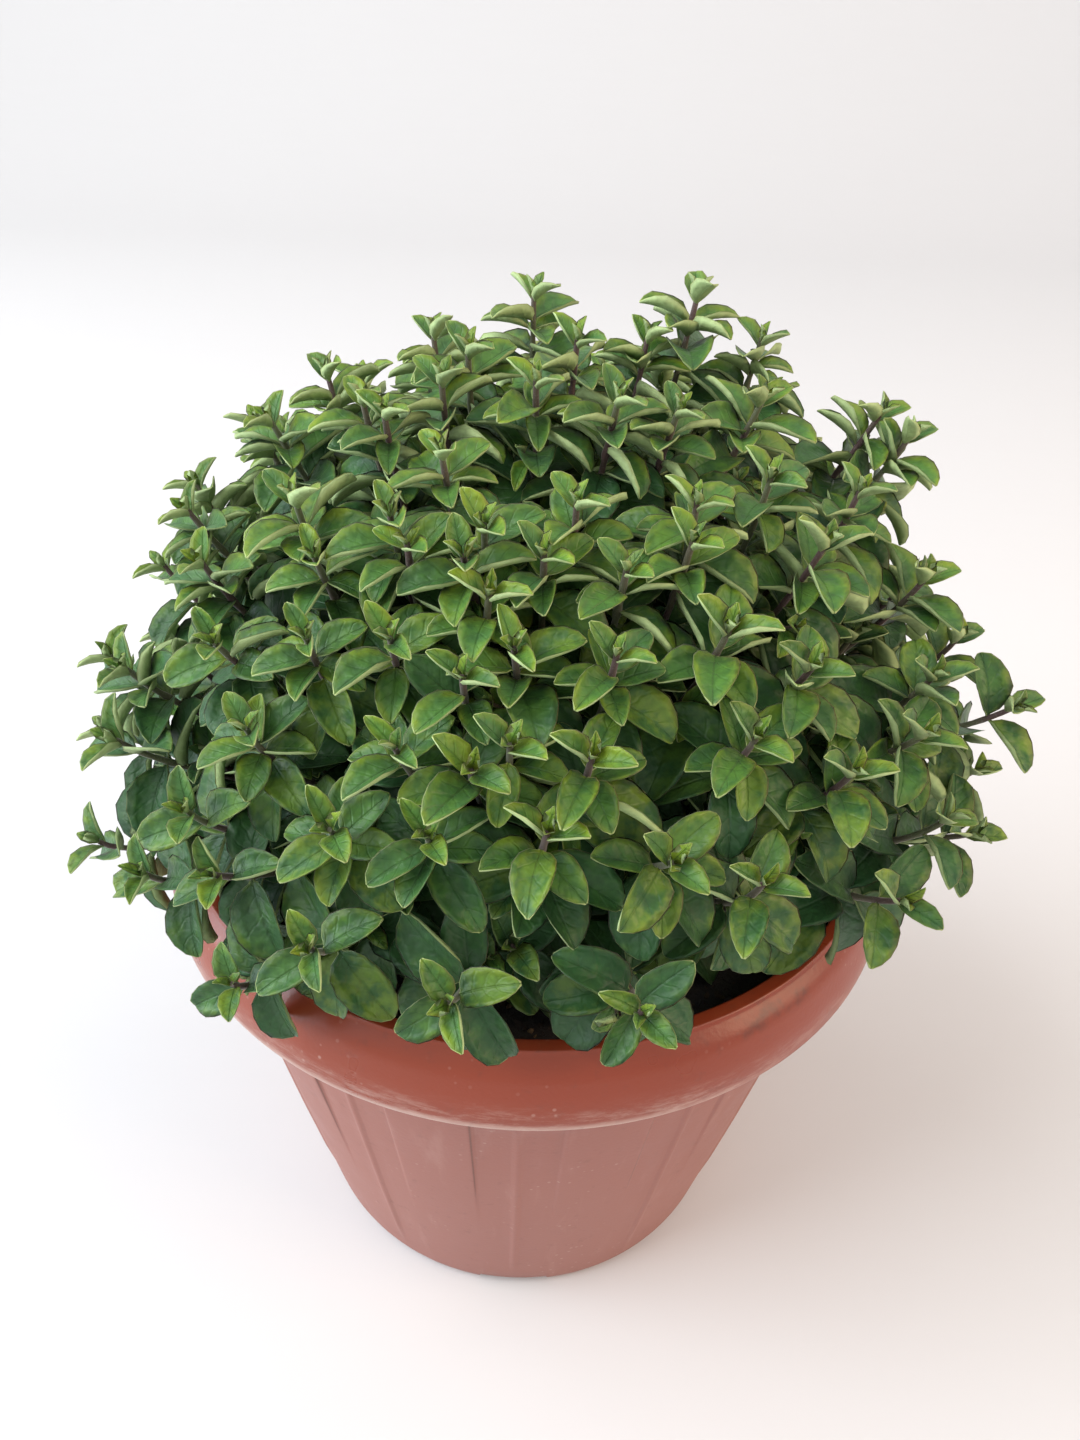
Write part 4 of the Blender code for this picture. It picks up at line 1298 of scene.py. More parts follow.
# %% Side shoots
FIRST_SIDE_PAIR = 4
SHORT_REACH = (2.0 * MM, 4.5 * MM)
LONG_REACH = (6.0 * MM, 13.0 * MM)
SMALLEST, SMALL = len(LEAF_PAIRS), len(LEAF_PAIRS) + 1
# Each pair of a side shoot: kind of leaf, angle from its axis in degrees, distance from its top.
SHORT_PAIRS = [(SMALLEST, 22, 0.0), (SMALL, 50, 1.6 * MM)]
LONG_PAIRS = [(SMALLEST, 16, 0.0), (SMALL, 32, 1.2 * MM), (1, 58, 4.0 * MM), (2, 80, 9.5 * MM)]
SIDE_BENDS = (0, 14, -14, 28, -28)
SIDE_STEM_LIFT_MM = 0.8
SIDE_STEM_OVER_MM = 0.3


def side_leaf(kind, root, axis, direction, tilt, rng):
    """A leaf of a side shoot, tilted from its axis in a direction."""
    out = axis * math.cos(tilt) + direction * math.sin(tilt)
    face = axis * math.sin(tilt) - direction * math.cos(tilt)
    variant = rng.randrange(VARIANTS)
    return Leaf(kind, variant, root, out, face, rng.uniform(0.8, 1.1))


def side_shoot(shoot, distance, turn, pairs, reach, rng):
    """The leaves of one side shoot, and its stem's two ends. Leaves without room stay out."""
    centre, along, side = shoot.place(distance)
    flat = Matrix.Rotation(math.radians(turn), 3, along) @ side
    axis = (along + flat * rng.uniform(0.6, 1.0) + UP * 0.25).normalized()
    lift = along * SIDE_STEM_LIFT_MM * MM
    base = centre + flat * shoot.half_width(distance) * LEAF_ROOT_SHARE + lift
    top = base + axis * reach
    across = axis.cross(flat).normalized()
    grown = []
    for kind, slant, down in pairs:
        if down > reach - 1.0 * MM:
            break
        across = axis.cross(across).normalized()
        for way in (1, -1):
            tilt = math.radians(slant + rng.uniform(-8, 8))
            spins = (Matrix.Rotation(math.radians(bend), 3, axis) for bend in SIDE_BENDS)
            leaf = crowd.first_that_fits(
                side_leaf(kind, top - axis * down, axis, spin @ across * way, tilt, rng)
                for spin in spins
            )
            if leaf:
                grown.append((shoot, leaf))
    return grown, (shoot, base - axis * SIDE_STEM_LIFT_MM * MM, top + axis * SIDE_STEM_OVER_MM * MM)


def side_shoots(shoots, chance, pairs, reach_range, seed):
    """Side shoots of one length over all stems. Returns their leaves and their stems."""
    grown = []
    stalks = []
    for shoot in shoots:
        for pair, distance in enumerate(pair_places(shoot)):
            if pair < FIRST_SIDE_PAIR or distance > shoot.length - FREE_FOOT:
                continue
            for half in (0, 1):
                rng = random.Random(f"{seed} {shoot.name} {pair} {half}")
                if rng.random() > chance:
                    continue
                turn = 90 * ((pair - 1) % 2) + 180 * half + rng.uniform(-12, 12)
                made, stalk = side_shoot(shoot, distance, turn, pairs, rng.uniform(*reach_range), rng)
                if len(made) > 1:
                    grown += made
                    stalks.append(stalk)
    return grown, stalks


long_leaves, long_stalks = side_shoots(OUTER, 0.4, LONG_PAIRS, LONG_REACH, "long")
short_leaves, short_stalks = side_shoots(SHOOTS, 0.35, SHORT_PAIRS, SHORT_REACH, "short")
leaves += long_leaves + short_leaves
stalks = long_stalks + short_stalks
print("side leaves:", len(long_leaves), "+", len(short_leaves), "side stems:", len(stalks))

# %% [markdown]
# ## Leafy stems from one tree
#
# Five thousand leaves could each be an object, but what repeats and what follows a path is
# work for Geometry Nodes. The tree takes a plain mesh of points and edges. A loose point
# carries a leaf: one copy of a leaf shape lands on it, with the turn and size that the point
# holds. A chain of edges is a stem's line: Curve to Mesh sweeps a square with cut corners along
# it, as thick as each point says. Realize Instances turns the copies into mesh, a little noise
# bends them so that no two are alike, and each part gets its material.

# %% Tree helpers


def new_tree(name, inputs):
    """A tree that takes and gives geometry, with more named inputs, each of a kind of socket."""
    tree = bpy.data.node_groups.new(name, "GeometryNodeTree")
    tree.interface.new_socket("Geometry", in_out="OUTPUT", socket_type="NodeSocketGeometry")
    for title, kind in {"Geometry": "Geometry", **inputs}.items():
        tree.interface.new_socket(title, in_out="INPUT", socket_type=f"NodeSocket{kind}")
    return tree, tree.nodes.new("NodeGroupInput").outputs


def end_tree(tree, geometry):
    """Ends a tree with the geometry that it gives."""
    tree.links.new(geometry, tree.nodes.new("NodeGroupOutput").inputs[0])
    return tree


def shapes_in(tree, collection):
    """The shapes of a collection, each to be copied by itself."""
    inputs = {"Collection": collection, "Separate Children": True, "Reset Children": True}
    return add(tree, "GeometryNodeCollectionInfo", inputs).outputs[0]


def with_material(tree, geometry, material):
    """Geometry with its material set."""
    return add(tree, "GeometryNodeSetMaterial", {"Geometry": geometry, "Material": material}).outputs[0]


def ruffled(tree, geometry, strength, size):
    """Geometry that is bent a little by noise, as far as strength and over waves of a size."""
    wave = add(tree, "ShaderNodeTexNoise", {
        "Vector": add(tree, "GeometryNodeInputPosition").outputs[0],
        "Scale": calc(tree, "DIVIDE", 1.0, size), "Detail": 0.0,
    }).outputs["Color"]
    centred = add(tree, "ShaderNodeVectorMath", {0: wave, 1: (0.5, 0.5, 0.5)}, operation="SUBTRACT")
    swing = {0: centred.outputs[0], "Scale": strength}
    offset = add(tree, "ShaderNodeVectorMath", swing, operation="SCALE").outputs[0]
    return add(tree, "GeometryNodeSetPosition", {"Geometry": geometry, "Offset": offset}).outputs[0]


print("tree helpers ready")

# %% Leafy stem tree


def leafy_stem_tree():
    """Points and chains of edges in, leaves and stems out."""
    tree, given = new_tree("leafy_stems", {
        "Leaf Shapes": "Collection", "Ruffle": "Float", "Ruffle Size": "Float",
        "Stem Corner": "Float", "Leaf Material": "Material", "Stem Material": "Material",
    })

    def named(name, kind):
        return add(tree, "GeometryNodeInputNamedAttribute", {"Name": name}, data_type=kind).outputs[0]

    rotation = add(tree, "FunctionNodeEulerToRotation", {"Euler": named("turn", "FLOAT_VECTOR")})
    placed = add(tree, "GeometryNodeInstanceOnPoints", {
        "Points": given["Geometry"], "Selection": named("is_leaf", "BOOLEAN"),
        "Instance": shapes_in(tree, given["Leaf Shapes"]), "Pick Instance": True,
        "Instance Index": named("kind", "INT"), "Rotation": rotation.outputs[0],
        "Scale": named("size", "FLOAT"),
    })
    real = add(tree, "GeometryNodeRealizeInstances", {"Geometry": placed.outputs[0]}).outputs[0]
    bent = ruffled(tree, real, given["Ruffle"], given["Ruffle Size"])
    green = with_material(tree, bent, given["Leaf Material"])

    line = add(tree, "GeometryNodeMeshToCurve", {"Mesh": given["Geometry"]})
    square = add(tree, "GeometryNodeCurvePrimitiveQuadrilateral", {"Width": 2.0, "Height": 2.0})
    corners = {"Curve": square.outputs[0], "Count": 1, "Radius": given["Stem Corner"]}
    section = add(tree, "GeometryNodeFilletCurve", corners, mode="POLY")
    swept = add(tree, "GeometryNodeCurveToMesh", {
        "Curve": line.outputs[0], "Profile Curve": section.outputs[0],
        "Scale": named("half", "FLOAT"), "Fill Caps": True,
    })
    smooth = add(tree, "GeometryNodeSetShadeSmooth", {"Geometry": swept.outputs[0]}).outputs[0]
    brown = with_material(tree, smooth, given["Stem Material"])

    both = tree.nodes.new("GeometryNodeJoinGeometry")
    tree.links.new(green, both.inputs[0])
    tree.links.new(brown, both.inputs[0])
    return end_tree(tree, both.outputs[0])


LEAFY_STEMS = leafy_stem_tree()
print("nodes in the tree:", len(LEAFY_STEMS.nodes))

# %% [markdown]
# A tree's result lives only in the object that it runs on. A piece must be a plain mesh, so the
# result is copied out of the evaluated object, and the modifier is removed. The shapes that the
# tree copies stand in a collection of their own, which is cleared away at the end.

# %% From a tree to a piece


def bake(source, tree, settings):
    """Runs a tree on a mesh and returns its result as a plain mesh."""
    holder = into_scene(source.name, source)
    modifier = holder.modifiers.new(tree.name, "NODES")
    modifier.node_group = tree
    for item in tree.interface.items_tree:
        if item.item_type == "SOCKET" and item.in_out == "INPUT" and item.name in settings:
            modifier[item.identifier] = settings[item.name]
    graph = bpy.context.evaluated_depsgraph_get()
    grown = holder.evaluated_get(graph)
    made = bpy.data.meshes.new_from_object(grown, preserve_all_data_layers=True, depsgraph=graph)
    holder.modifiers.clear()
    bpy.data.objects.remove(holder, do_unlink=True)
    return made


def shapes_collection(name, meshes):
    """A collection that holds one object for each mesh, for a tree to copy from."""
    made = bpy.data.collections.new(name)
    bpy.context.scene.collection.children.link(made)
    for mesh in meshes:
        made.objects.link(bpy.data.objects.new(mesh.name, mesh))
    return made


def clear_away(collection):
    """Removes a collection of shapes that have been copied."""
    for thing in list(collection.objects):
        bpy.data.objects.remove(thing, do_unlink=True)
    bpy.data.collections.remove(collection)


def piece(name, mesh):
    """A finished piece: plain mesh at the origin, riding on the plant's one body."""
    mesh.name = name
    made = into_scene(name, mesh)
    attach(made, "root")
    return made


blade_meshes = []
for number, kind in enumerate(KINDS):
    blade_meshes += [blade.mesh(f"leaf_{number:02d}_{variant}") for variant, blade in enumerate(kind)]
LEAF_SHAPES = shapes_collection("leaf_shapes", blade_meshes)
print("leaf shapes:", len(blade_meshes), "faces of each:", sorted({len(m.polygons) for m in blade_meshes}))

# %% [markdown]
# One piece with all the leaves would be too heavy to handle. So the bush is cut into eight
# sectors round the pot, each with about as many leaves, and the tree runs once for each.

# %% Points and chains
SECTORS = 8
STEM_STEP = 2.4 * MM
NODE_SWELLING = 0.28 * MM
NODE_REACH = 1.2 * MM
SIDE_STEM_HALVES = (0.50 * MM, 0.42 * MM, 0.30 * MM)


def round_the_pot(shoot):
    """Angle of a shoot round the pot, from the front."""
    return (math.atan2(shoot.tip.y, shoot.tip.x) - FRONT) % (2 * math.pi)


def sectors():
    """The shoots in groups that go round the pot, each with about as many leaves."""
    count = {shoot.name: 0 for shoot in SHOOTS}
    for shoot, _ in leaves:
        count[shoot.name] += 1
    groups = [[] for _ in range(SECTORS)]
    passed = 0
    for shoot in sorted(SHOOTS, key=round_the_pot):
        groups[min(passed * SECTORS // len(leaves), SECTORS - 1)].append(shoot)
        passed += count[shoot.name]
    return groups


def swollen(shoot, distance):
    """Half width with a small swelling at each pair of leaves."""
    half = shoot.half_width(distance)
    for pair, node in enumerate(pair_places(shoot)):
        half += NODE_SWELLING * math.exp(-((distance - node) / NODE_REACH) ** 2) * min(pair / 3, 1.0)
    return half


def stem_line(shoot):
    """Points down a stem, with the half width at each."""
    count = int(shoot.length / STEM_STEP)
    line = []
    for k in range(count + 1):
        distance = shoot.length * k / count
        line.append((shoot.place(distance)[0], swollen(shoot, distance)))
    line.append((shoot.root - UP * ROOT_DEPTH, STEM_FOOT_WIDTH / 2))
    return line


def points_and_chains(group):
    """The mesh that the tree reads: a point for each leaf, and a chain for each stem."""
    names = {shoot.name for shoot in group}
    placed = [(shoot, leaf) for shoot, leaf in leaves if shoot.name in names]
    lines = [stem_line(shoot) for shoot in group]
    for shoot, base, top in stalks:
        if shoot.name in names:
            lines.append(list(zip((base, base.lerp(top, 0.5), top), SIDE_STEM_HALVES)))
    points = [leaf.matrix.translation for _, leaf in placed]
    halves = [0.0] * len(placed)
    edges = []
    for line in lines:
        edges += [(len(points) + k, len(points) + k + 1) for k in range(len(line) - 1)]
        points += [point for point, _ in line]
        halves += [half for _, half in line]
    rest = len(points) - len(placed)
    rng = random.Random(SEED + len(points))
    # Each leaf's age, raised by its shoot inside and low on the bush, partly as painted shade.
    ages_and_painted_shade = [KINDS[leaf.kind][leaf.variant].age + shoot.age_and_painted_shade for shoot, leaf in placed]
    turns = [angle for _, leaf in placed for angle in leaf.matrix.to_euler()]
    made = bpy.data.meshes.new("points_and_chains")
    made.from_pydata(points, edges, [])
    columns = {
        "is_leaf": ("BOOLEAN", [True] * len(placed) + [False] * rest),
        "kind": ("INT", [leaf.kind * VARIANTS + leaf.variant for _, leaf in placed] + [0] * rest),
        "size": ("FLOAT", [leaf.size for _, leaf in placed] + [0.0] * rest),
        "age": ("FLOAT", ages_and_painted_shade + [0.0] * rest),
        "tone": ("FLOAT", [rng.uniform(-1, 1) for _ in placed] + [0.0] * rest),
        "half": ("FLOAT", halves),
    }
    for name, (form, values) in columns.items():
        made.attributes.new(name, form, "POINT").data.foreach_set("value", values)
    turns += [0.0] * 3 * rest
    made.attributes.new("turn", "FLOAT_VECTOR", "POINT").data.foreach_set("vector", turns)
    return made


for number, group in enumerate(sectors(), start=1):
    mesh = bake(points_and_chains(group), LEAFY_STEMS, {
        "Leaf Shapes": LEAF_SHAPES, "Ruffle": 0.5 * MM, "Ruffle Size": 11 * MM,
        "Stem Corner": 0.6, "Leaf Material": LEAF, "Stem Material": STEM,
    })
    foliage = piece(f"leafy_stems_{number}", mesh)
    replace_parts(foliage, *[shoot.name for shoot in group if shoot.name in MODELLED])
    print(foliage.name, "shoots:", len(group), "faces:", len(mesh.polygons))
clear_away(LEAF_SHAPES)

# %% [markdown]
# ## The pot's shell
#
# A pot is a profile turned round an axis, and a bent line with rounded corners gives that
# profile. A Screw modifier could turn it, but what isn't round follows the angle: twelve
# shallow panels in the body, each with upright edges and a soft crest, and four notches in the
# foot ring. So the shell is built ring by ring from the profile, with the panels as a small
# change of radius, and with more columns where a panel's edge needs them.

# %% Pot profile
POT_FOOT_RADIUS = 66.8 * MM
POT_BODY_TOP_RADIUS = 91.0 * MM
POT_BODY_HEIGHT = 126.0 * MM
COLLAR_RADIUS = 100.0 * MM
LIP_OUTER_RADIUS = 93.8 * MM
LIP_INNER_RADIUS = 90.2 * MM
LIP_HEIGHT = 149.0 * MM
WALL = 2.0 * MM
FLOOR_UNDERSIDE = 3.0 * MM
FLOOR_TOP = 5.0 * MM
FOOT_RING_INNER = 59.0 * MM
FOOT_RING_OUTER = 65.5 * MM
FOOT_NOTCHES = 4
FOOT_NOTCH_HALF = math.radians(9)
FOOT_NOTCH_EDGE = 0.008
FOOT_NOTCH_RISE = 4.4 * MM
PANELS = 12
PANEL_HALF = math.radians(8)
PANEL_STEP = math.radians(0.8)
PANEL_DEPTH = 1.0 * MM
PANEL_FADE_HEIGHT = 48.0 * MM
PANEL_TOP = 116.0 * MM
CREST_RISE = 0.6 * MM
DRAIN_HOLES = 4
DRAIN_RADIUS = 4.5 * MM
DRAIN_CIRCLE = 44.0 * MM


def body_radius(height):
    """Outer radius of the conical body."""
    return POT_FOOT_RADIUS + (POT_BODY_TOP_RADIUS - POT_FOOT_RADIUS) * height / POT_BODY_HEIGHT


def pot_profile():
    """Corners of the profile as radius, height and rounding, from the underside round to the floor."""
    knee = POT_BODY_TOP_RADIUS - WALL
    return [
        (FOOT_RING_INNER - 1.0 * MM, FLOOR_UNDERSIDE, 0.0),
        (FOOT_RING_INNER, 0.0, 0.4 * MM),
        (FOOT_RING_OUTER, 0.0, 0.8 * MM),
        (body_radius(3.0 * MM), 3.0 * MM, 2.4 * MM),
        (POT_BODY_TOP_RADIUS, POT_BODY_HEIGHT, 3.0 * MM),
        (LIP_INNER_RADIUS + WALL, LIP_HEIGHT - 5.5 * MM, 0.8 * MM),
        (COLLAR_RADIUS - 2.6 * MM, COLLAR_BOTTOM + 2.2 * MM, 0.8 * MM),
        (COLLAR_RADIUS - 1.9 * MM, COLLAR_BOTTOM, 0.5 * MM),
        (COLLAR_RADIUS - 0.1 * MM, COLLAR_BOTTOM, 0.9 * MM),
        (COLLAR_RADIUS, COLLAR_BOTTOM + 7.0 * MM, 6.0 * MM),
        (COLLAR_RADIUS - 2.6 * MM, COLLAR_BOTTOM + 15.4 * MM, 5.0 * MM),
        (LIP_OUTER_RADIUS + 0.3 * MM, LIP_HEIGHT - 1.0 * MM, 0.5 * MM),
        (LIP_OUTER_RADIUS - 0.1 * MM, LIP_HEIGHT - 0.1 * MM, 0.4 * MM),
        (LIP_INNER_RADIUS + 0.3 * MM, LIP_HEIGHT, 0.5 * MM),
        (LIP_INNER_RADIUS, LIP_HEIGHT - 1.0 * MM, 0.4 * MM),
        (knee, POT_BODY_HEIGHT, 4.0 * MM),
        (body_radius(FLOOR_TOP) - WALL, FLOOR_TOP, 1.6 * MM),
        (30.0 * MM, FLOOR_TOP, 0.0),
    ]


def rounded(corners, steps=4, longest=6.0 * MM):
    """The profile's points, with an arc at each corner and no stretch too long."""
    line = []
    for k, (radius, height, rounding) in enumerate(corners):
        here = Vector((radius, height))
        if rounding == 0.0:
            line.append(here)
            continue
        before = Vector(corners[k - 1][:2]) - here
        after = Vector(corners[k + 1][:2]) - here
        reach = min(rounding, before.length * 0.48, after.length * 0.48)
        start = here + before.normalized() * reach
        end = here + after.normalized() * reach
        for step in range(steps + 1):
            share = step / steps
            line.append(start.lerp(here, share).lerp(here.lerp(end, share), share))
    fine = [line[0]]
    for point in line[1:]:
        pieces = max(1, math.ceil((point - fine[-1]).length / longest))
        start = fine[-1]
        fine += [start.lerp(point, (k + 1) / pieces) for k in range(pieces)]
    return fine


PROFILE = rounded(pot_profile())
print("profile points:", len(PROFILE))

# %% Pot panels and notches
COLUMN_DEGREES = [
    0.0, 0.5, 0.9, 1.3, 3.2, 5.2, 7.0, 7.25, 7.5, 7.75, 8.0, 8.4, 9.0, 9.4, 11.2, 13.1,
]


def from_nearest(turn, count):
    """Angle from the nearest of count evenly spaced places, one of them at the front."""
    pitch = 2 * math.pi / count
    return abs((turn - FRONT + pitch / 2) % pitch - pitch / 2)


def smooth_step(value, low, high):
    """0 below low, 1 above high, and a smooth step between them."""
    share = min(max((value - low) / (high - low), 0.0), 1.0)
    return share * share * (3 - 2 * share)


def panel_inset(turn, height):
    """How far the body's surface lies inside its cone at one place."""
    off_middle = from_nearest(turn, PANELS)
    inside = 1.0 - smooth_step(off_middle, PANEL_HALF - PANEL_STEP, PANEL_HALF)
    deep = (height - PANEL_FADE_HEIGHT) / (PANEL_TOP - PANEL_FADE_HEIGHT)
    ends = 1.0 - smooth_step(height, PANEL_TOP - 0.5 * MM, PANEL_TOP + 2.0 * MM)
    crest = 1.0 - smooth_step(off_middle, 0.0, PANEL_STEP * 1.6)
    foot = smooth_step(height, 8 * MM, 24 * MM)
    return PANEL_DEPTH * max(deep, 0.0) * inside * ends - CREST_RISE * crest * ends * foot


def pot_columns():
    """Angles of the shell's columns: close together at panel edges, crests and foot notches."""
    offsets = [math.radians(sign * d) for d in COLUMN_DEGREES for sign in (1, -1)]
    offsets.append(math.pi / PANELS)
    middles = [FRONT + 2 * math.pi * panel / PANELS for panel in range(PANELS)]
    return sorted({round((middle + offset) % (2 * math.pi), 6) for middle in middles for offset in offsets})


def pot_point(turn, radius, height, on_body):
    """A point of the shell, with its panel or foot notch."""
    if height < FOOT_NOTCH_RISE and FOOT_RING_INNER - 0.5 * MM < radius:
        edge = (FOOT_NOTCH_HALF - FOOT_NOTCH_EDGE, FOOT_NOTCH_HALF + FOOT_NOTCH_EDGE)
        inside = 1.0 - smooth_step(from_nearest(turn, FOOT_NOTCHES), *edge)
        height = max(height, FOOT_NOTCH_RISE * inside)
    if on_body:
        radius -= panel_inset(turn, height)
    return radius * math.cos(turn), radius * math.sin(turn), height


def crease(turn, height):
    """How much painted shade darkens the crease at a panel's left edge: most of it near the collar."""
    pitch = 2 * math.pi / PANELS
    off_middle = (turn - FRONT + pitch / 2) % pitch - pitch / 2
    beside = abs(off_middle + PANEL_HALF - PANEL_STEP * 0.3)
    return (1.0 - smooth_step(beside, 0.0, PANEL_STEP * 0.28)) * smooth_step(height, 60 * MM, 80 * MM)


print("columns of the shell:", len(pot_columns()))

# %% [markdown]
# The rings are joined by faces, and a fan closes each end. The floor has drain holes. A Boolean
# modifier cuts them, because it also mends the faces round each cut.

# %% Pot shell


def on_outside(point):
    """Whether a point of the profile lies on the body's outer side."""
    return point.y <= POT_BODY_HEIGHT and point.x > body_radius(point.y) - 0.2 * MM


def skin(bm, rings, low_middle, high_middle):
    """Closes a body from rings of corners: faces between them, and a fan over each end."""
    count = len(rings[0])
    for lower, upper in zip(rings, rings[1:]):
        for c in range(count):
            after = (c + 1) % count
            bm.faces.new((lower[c], lower[after], upper[after], upper[c]))
    for ring, middle in ((rings[0], low_middle), (rings[-1], high_middle)):
        centre = bm.verts.new(middle)
        for c in range(count):
            bm.faces.new((ring[c], ring[(c + 1) % count], centre))
    bmesh.ops.recalc_face_normals(bm, faces=bm.faces)


def pot_mesh():
    """The shell, closed under its floor and over it, with the painted shade of its creases."""
    bm = bmesh.new()
    crease_shade_layer = bm.verts.layers.float.new("crease")
    columns = pot_columns()
    outer_end = max(k for k, point in enumerate(PROFILE) if on_outside(point))
    rings = []
    for k, point in enumerate(PROFILE):
        on_body = k <= outer_end and point.y > 6 * MM
        rings.append([bm.verts.new(pot_point(turn, point.x, point.y, on_body)) for turn in columns])
        for turn, vert in zip(columns, rings[-1]):
            vert[crease_shade_layer] = crease(turn, point.y) if on_body else 0.0
    skin(bm, rings, (0, 0, FLOOR_UNDERSIDE), (0, 0, FLOOR_TOP))
    return to_mesh(bm, "pot_shell")


def drained(mesh):
    """The shell with its drain holes cut through the floor."""
    shell = into_scene("pot_shell", mesh)
    bm = bmesh.new()
    for hole in range(DRAIN_HOLES):
        turn = 2 * math.pi * hole / DRAIN_HOLES
        place = (DRAIN_CIRCLE * math.cos(turn), DRAIN_CIRCLE * math.sin(turn), 0)
        bmesh.ops.create_cone(
            bm, segments=32, radius1=DRAIN_RADIUS, radius2=DRAIN_RADIUS, depth=20 * MM,
            cap_ends=True, matrix=Matrix.Translation(place),
        )
    drill = into_scene("drills", to_mesh(bm, "drills"))
    boolean = shell.modifiers.new("drain", "BOOLEAN")
    boolean.object = drill
    boolean.solver = "EXACT"
    made = bpy.data.meshes.new_from_object(shell.evaluated_get(bpy.context.evaluated_depsgraph_get()))
    bpy.data.objects.remove(shell, do_unlink=True)
    bpy.data.objects.remove(drill, do_unlink=True)
    return made


shell = drained(pot_mesh())
shell.materials.clear()
shell.materials.append(POT)
shell.shade_smooth()
shell.set_sharp_from_angle(angle=math.radians(40))
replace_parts(piece("pot_shell", shell), "pot")
print("pot faces:", len(shell.polygons))

# %% [markdown]
# ## Soil
#
# The soil's body fills the pot from its floor up. A displaced grid would do for its top, but a
# closed body also meets the wall and the floor. Its top is a fine disc, raised and lowered by
# noise, and lower beside the wall.

# %% Soil body
GAP = 0.3 * MM
SOIL_ROUGHNESS = 1.6 * MM
SOIL_WAVE = 22 * MM
SOIL_RIPPLE = 9 * MM
SOIL_LUMP = 3.5 * MM
SOIL_LUMP_HEIGHT = 0.7 * MM
SOIL_WALL_MM = (7, 40, 80, 126, 131, 135)
SOIL_TOP_RINGS = 34


def inner_radius(height):
    """Radius of the pot's inner wall."""
    knee = POT_BODY_TOP_RADIUS - WALL
    if height <= POT_BODY_HEIGHT:
        return body_radius(height) - WALL
    share = (height - POT_BODY_HEIGHT) / (LIP_HEIGHT - POT_BODY_HEIGHT)
    return knee + (LIP_INNER_RADIUS - knee) * share


def soil_height(x, y):
    """The soil's surface: a little uneven, with lumps."""
    wave = noise.noise(Vector((x, y, 0)) / SOIL_WAVE)
    ripple = noise.noise(Vector((y, x, 0.1)) / SOIL_RIPPLE)
    lump = noise.noise(Vector((x, y, 0.2)) / SOIL_LUMP)
    return SOIL_TOP + SOIL_ROUGHNESS * (wave + 0.5 * ripple) + SOIL_LUMP_HEIGHT * lump


def soil_mesh(columns=144):
    """The closed body of soil."""
    bm = bmesh.new()
    bottom = FLOOR_TOP + GAP
    clear = 1.3 * GAP
    wall = [(inner_radius(bottom) - 2.6 * MM, bottom)]
    wall += [(inner_radius(h * MM) - clear, h * MM) for h in SOIL_WALL_MM]
    top = [inner_radius(SOIL_TOP) - clear - 0.8 * MM * k for k in (1, 2, 4)]
    top += [top[-1] * (1 - k / SOIL_TOP_RINGS) for k in range(1, SOIL_TOP_RINGS)]
    rings = []
    for radius, height in wall + [(radius, None) for radius in top]:
        ring = []
        for c in range(columns):
            turn = 2 * math.pi * c / columns
            x = radius * math.cos(turn)
            y = radius * math.sin(turn)
            ring.append(bm.verts.new((x, y, soil_height(x, y) if height is None else height)))
        rings.append(ring)
    skin(bm, rings, (0, 0, bottom), (0, 0, soil_height(0, 0)))
    made = to_mesh(bm, "soil_body")
    made.shade_smooth()
    made.materials.append(SOIL)
    return made


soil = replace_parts(piece("soil_body", soil_mesh()), "soil")
print("soil faces:", len(soil.data.polygons))

# %% [markdown]
# ## Crumbs
#
# Loose crumbs lie on the soil, most of them small. A particle system could scatter them, and
# Geometry Nodes do it with less to bake: points on the upper faces, one of a few lumpy shapes
# on each, at a random turn and size. A cubed random number makes large crumbs rare.

# %% Crumbs
CRUMB_KINDS = 4
TONE_SEED = 5
TURN_SEED = 9
KIND_SEED = 3
ANY_TURN = (6.28, 6.28, 6.28)


def crumb_shapes():
    """Lumpy shapes of a few dozen faces."""
    meshes = []
    for number in range(CRUMB_KINDS):
        bm = bmesh.new()
        bmesh.ops.create_icosphere(bm, subdivisions=1, radius=1.0)
        for vert in bm.verts:
            vert.co *= 0.75 + 0.5 * noise.noise(vert.co * 1.3 + Vector((number * 7, 0, 0)))
            vert.co.z *= 0.7
            vert.co.x *= 1.0 + 0.25 * number
        meshes.append(to_mesh(bm, f"crumb_{number}"))
    return meshes


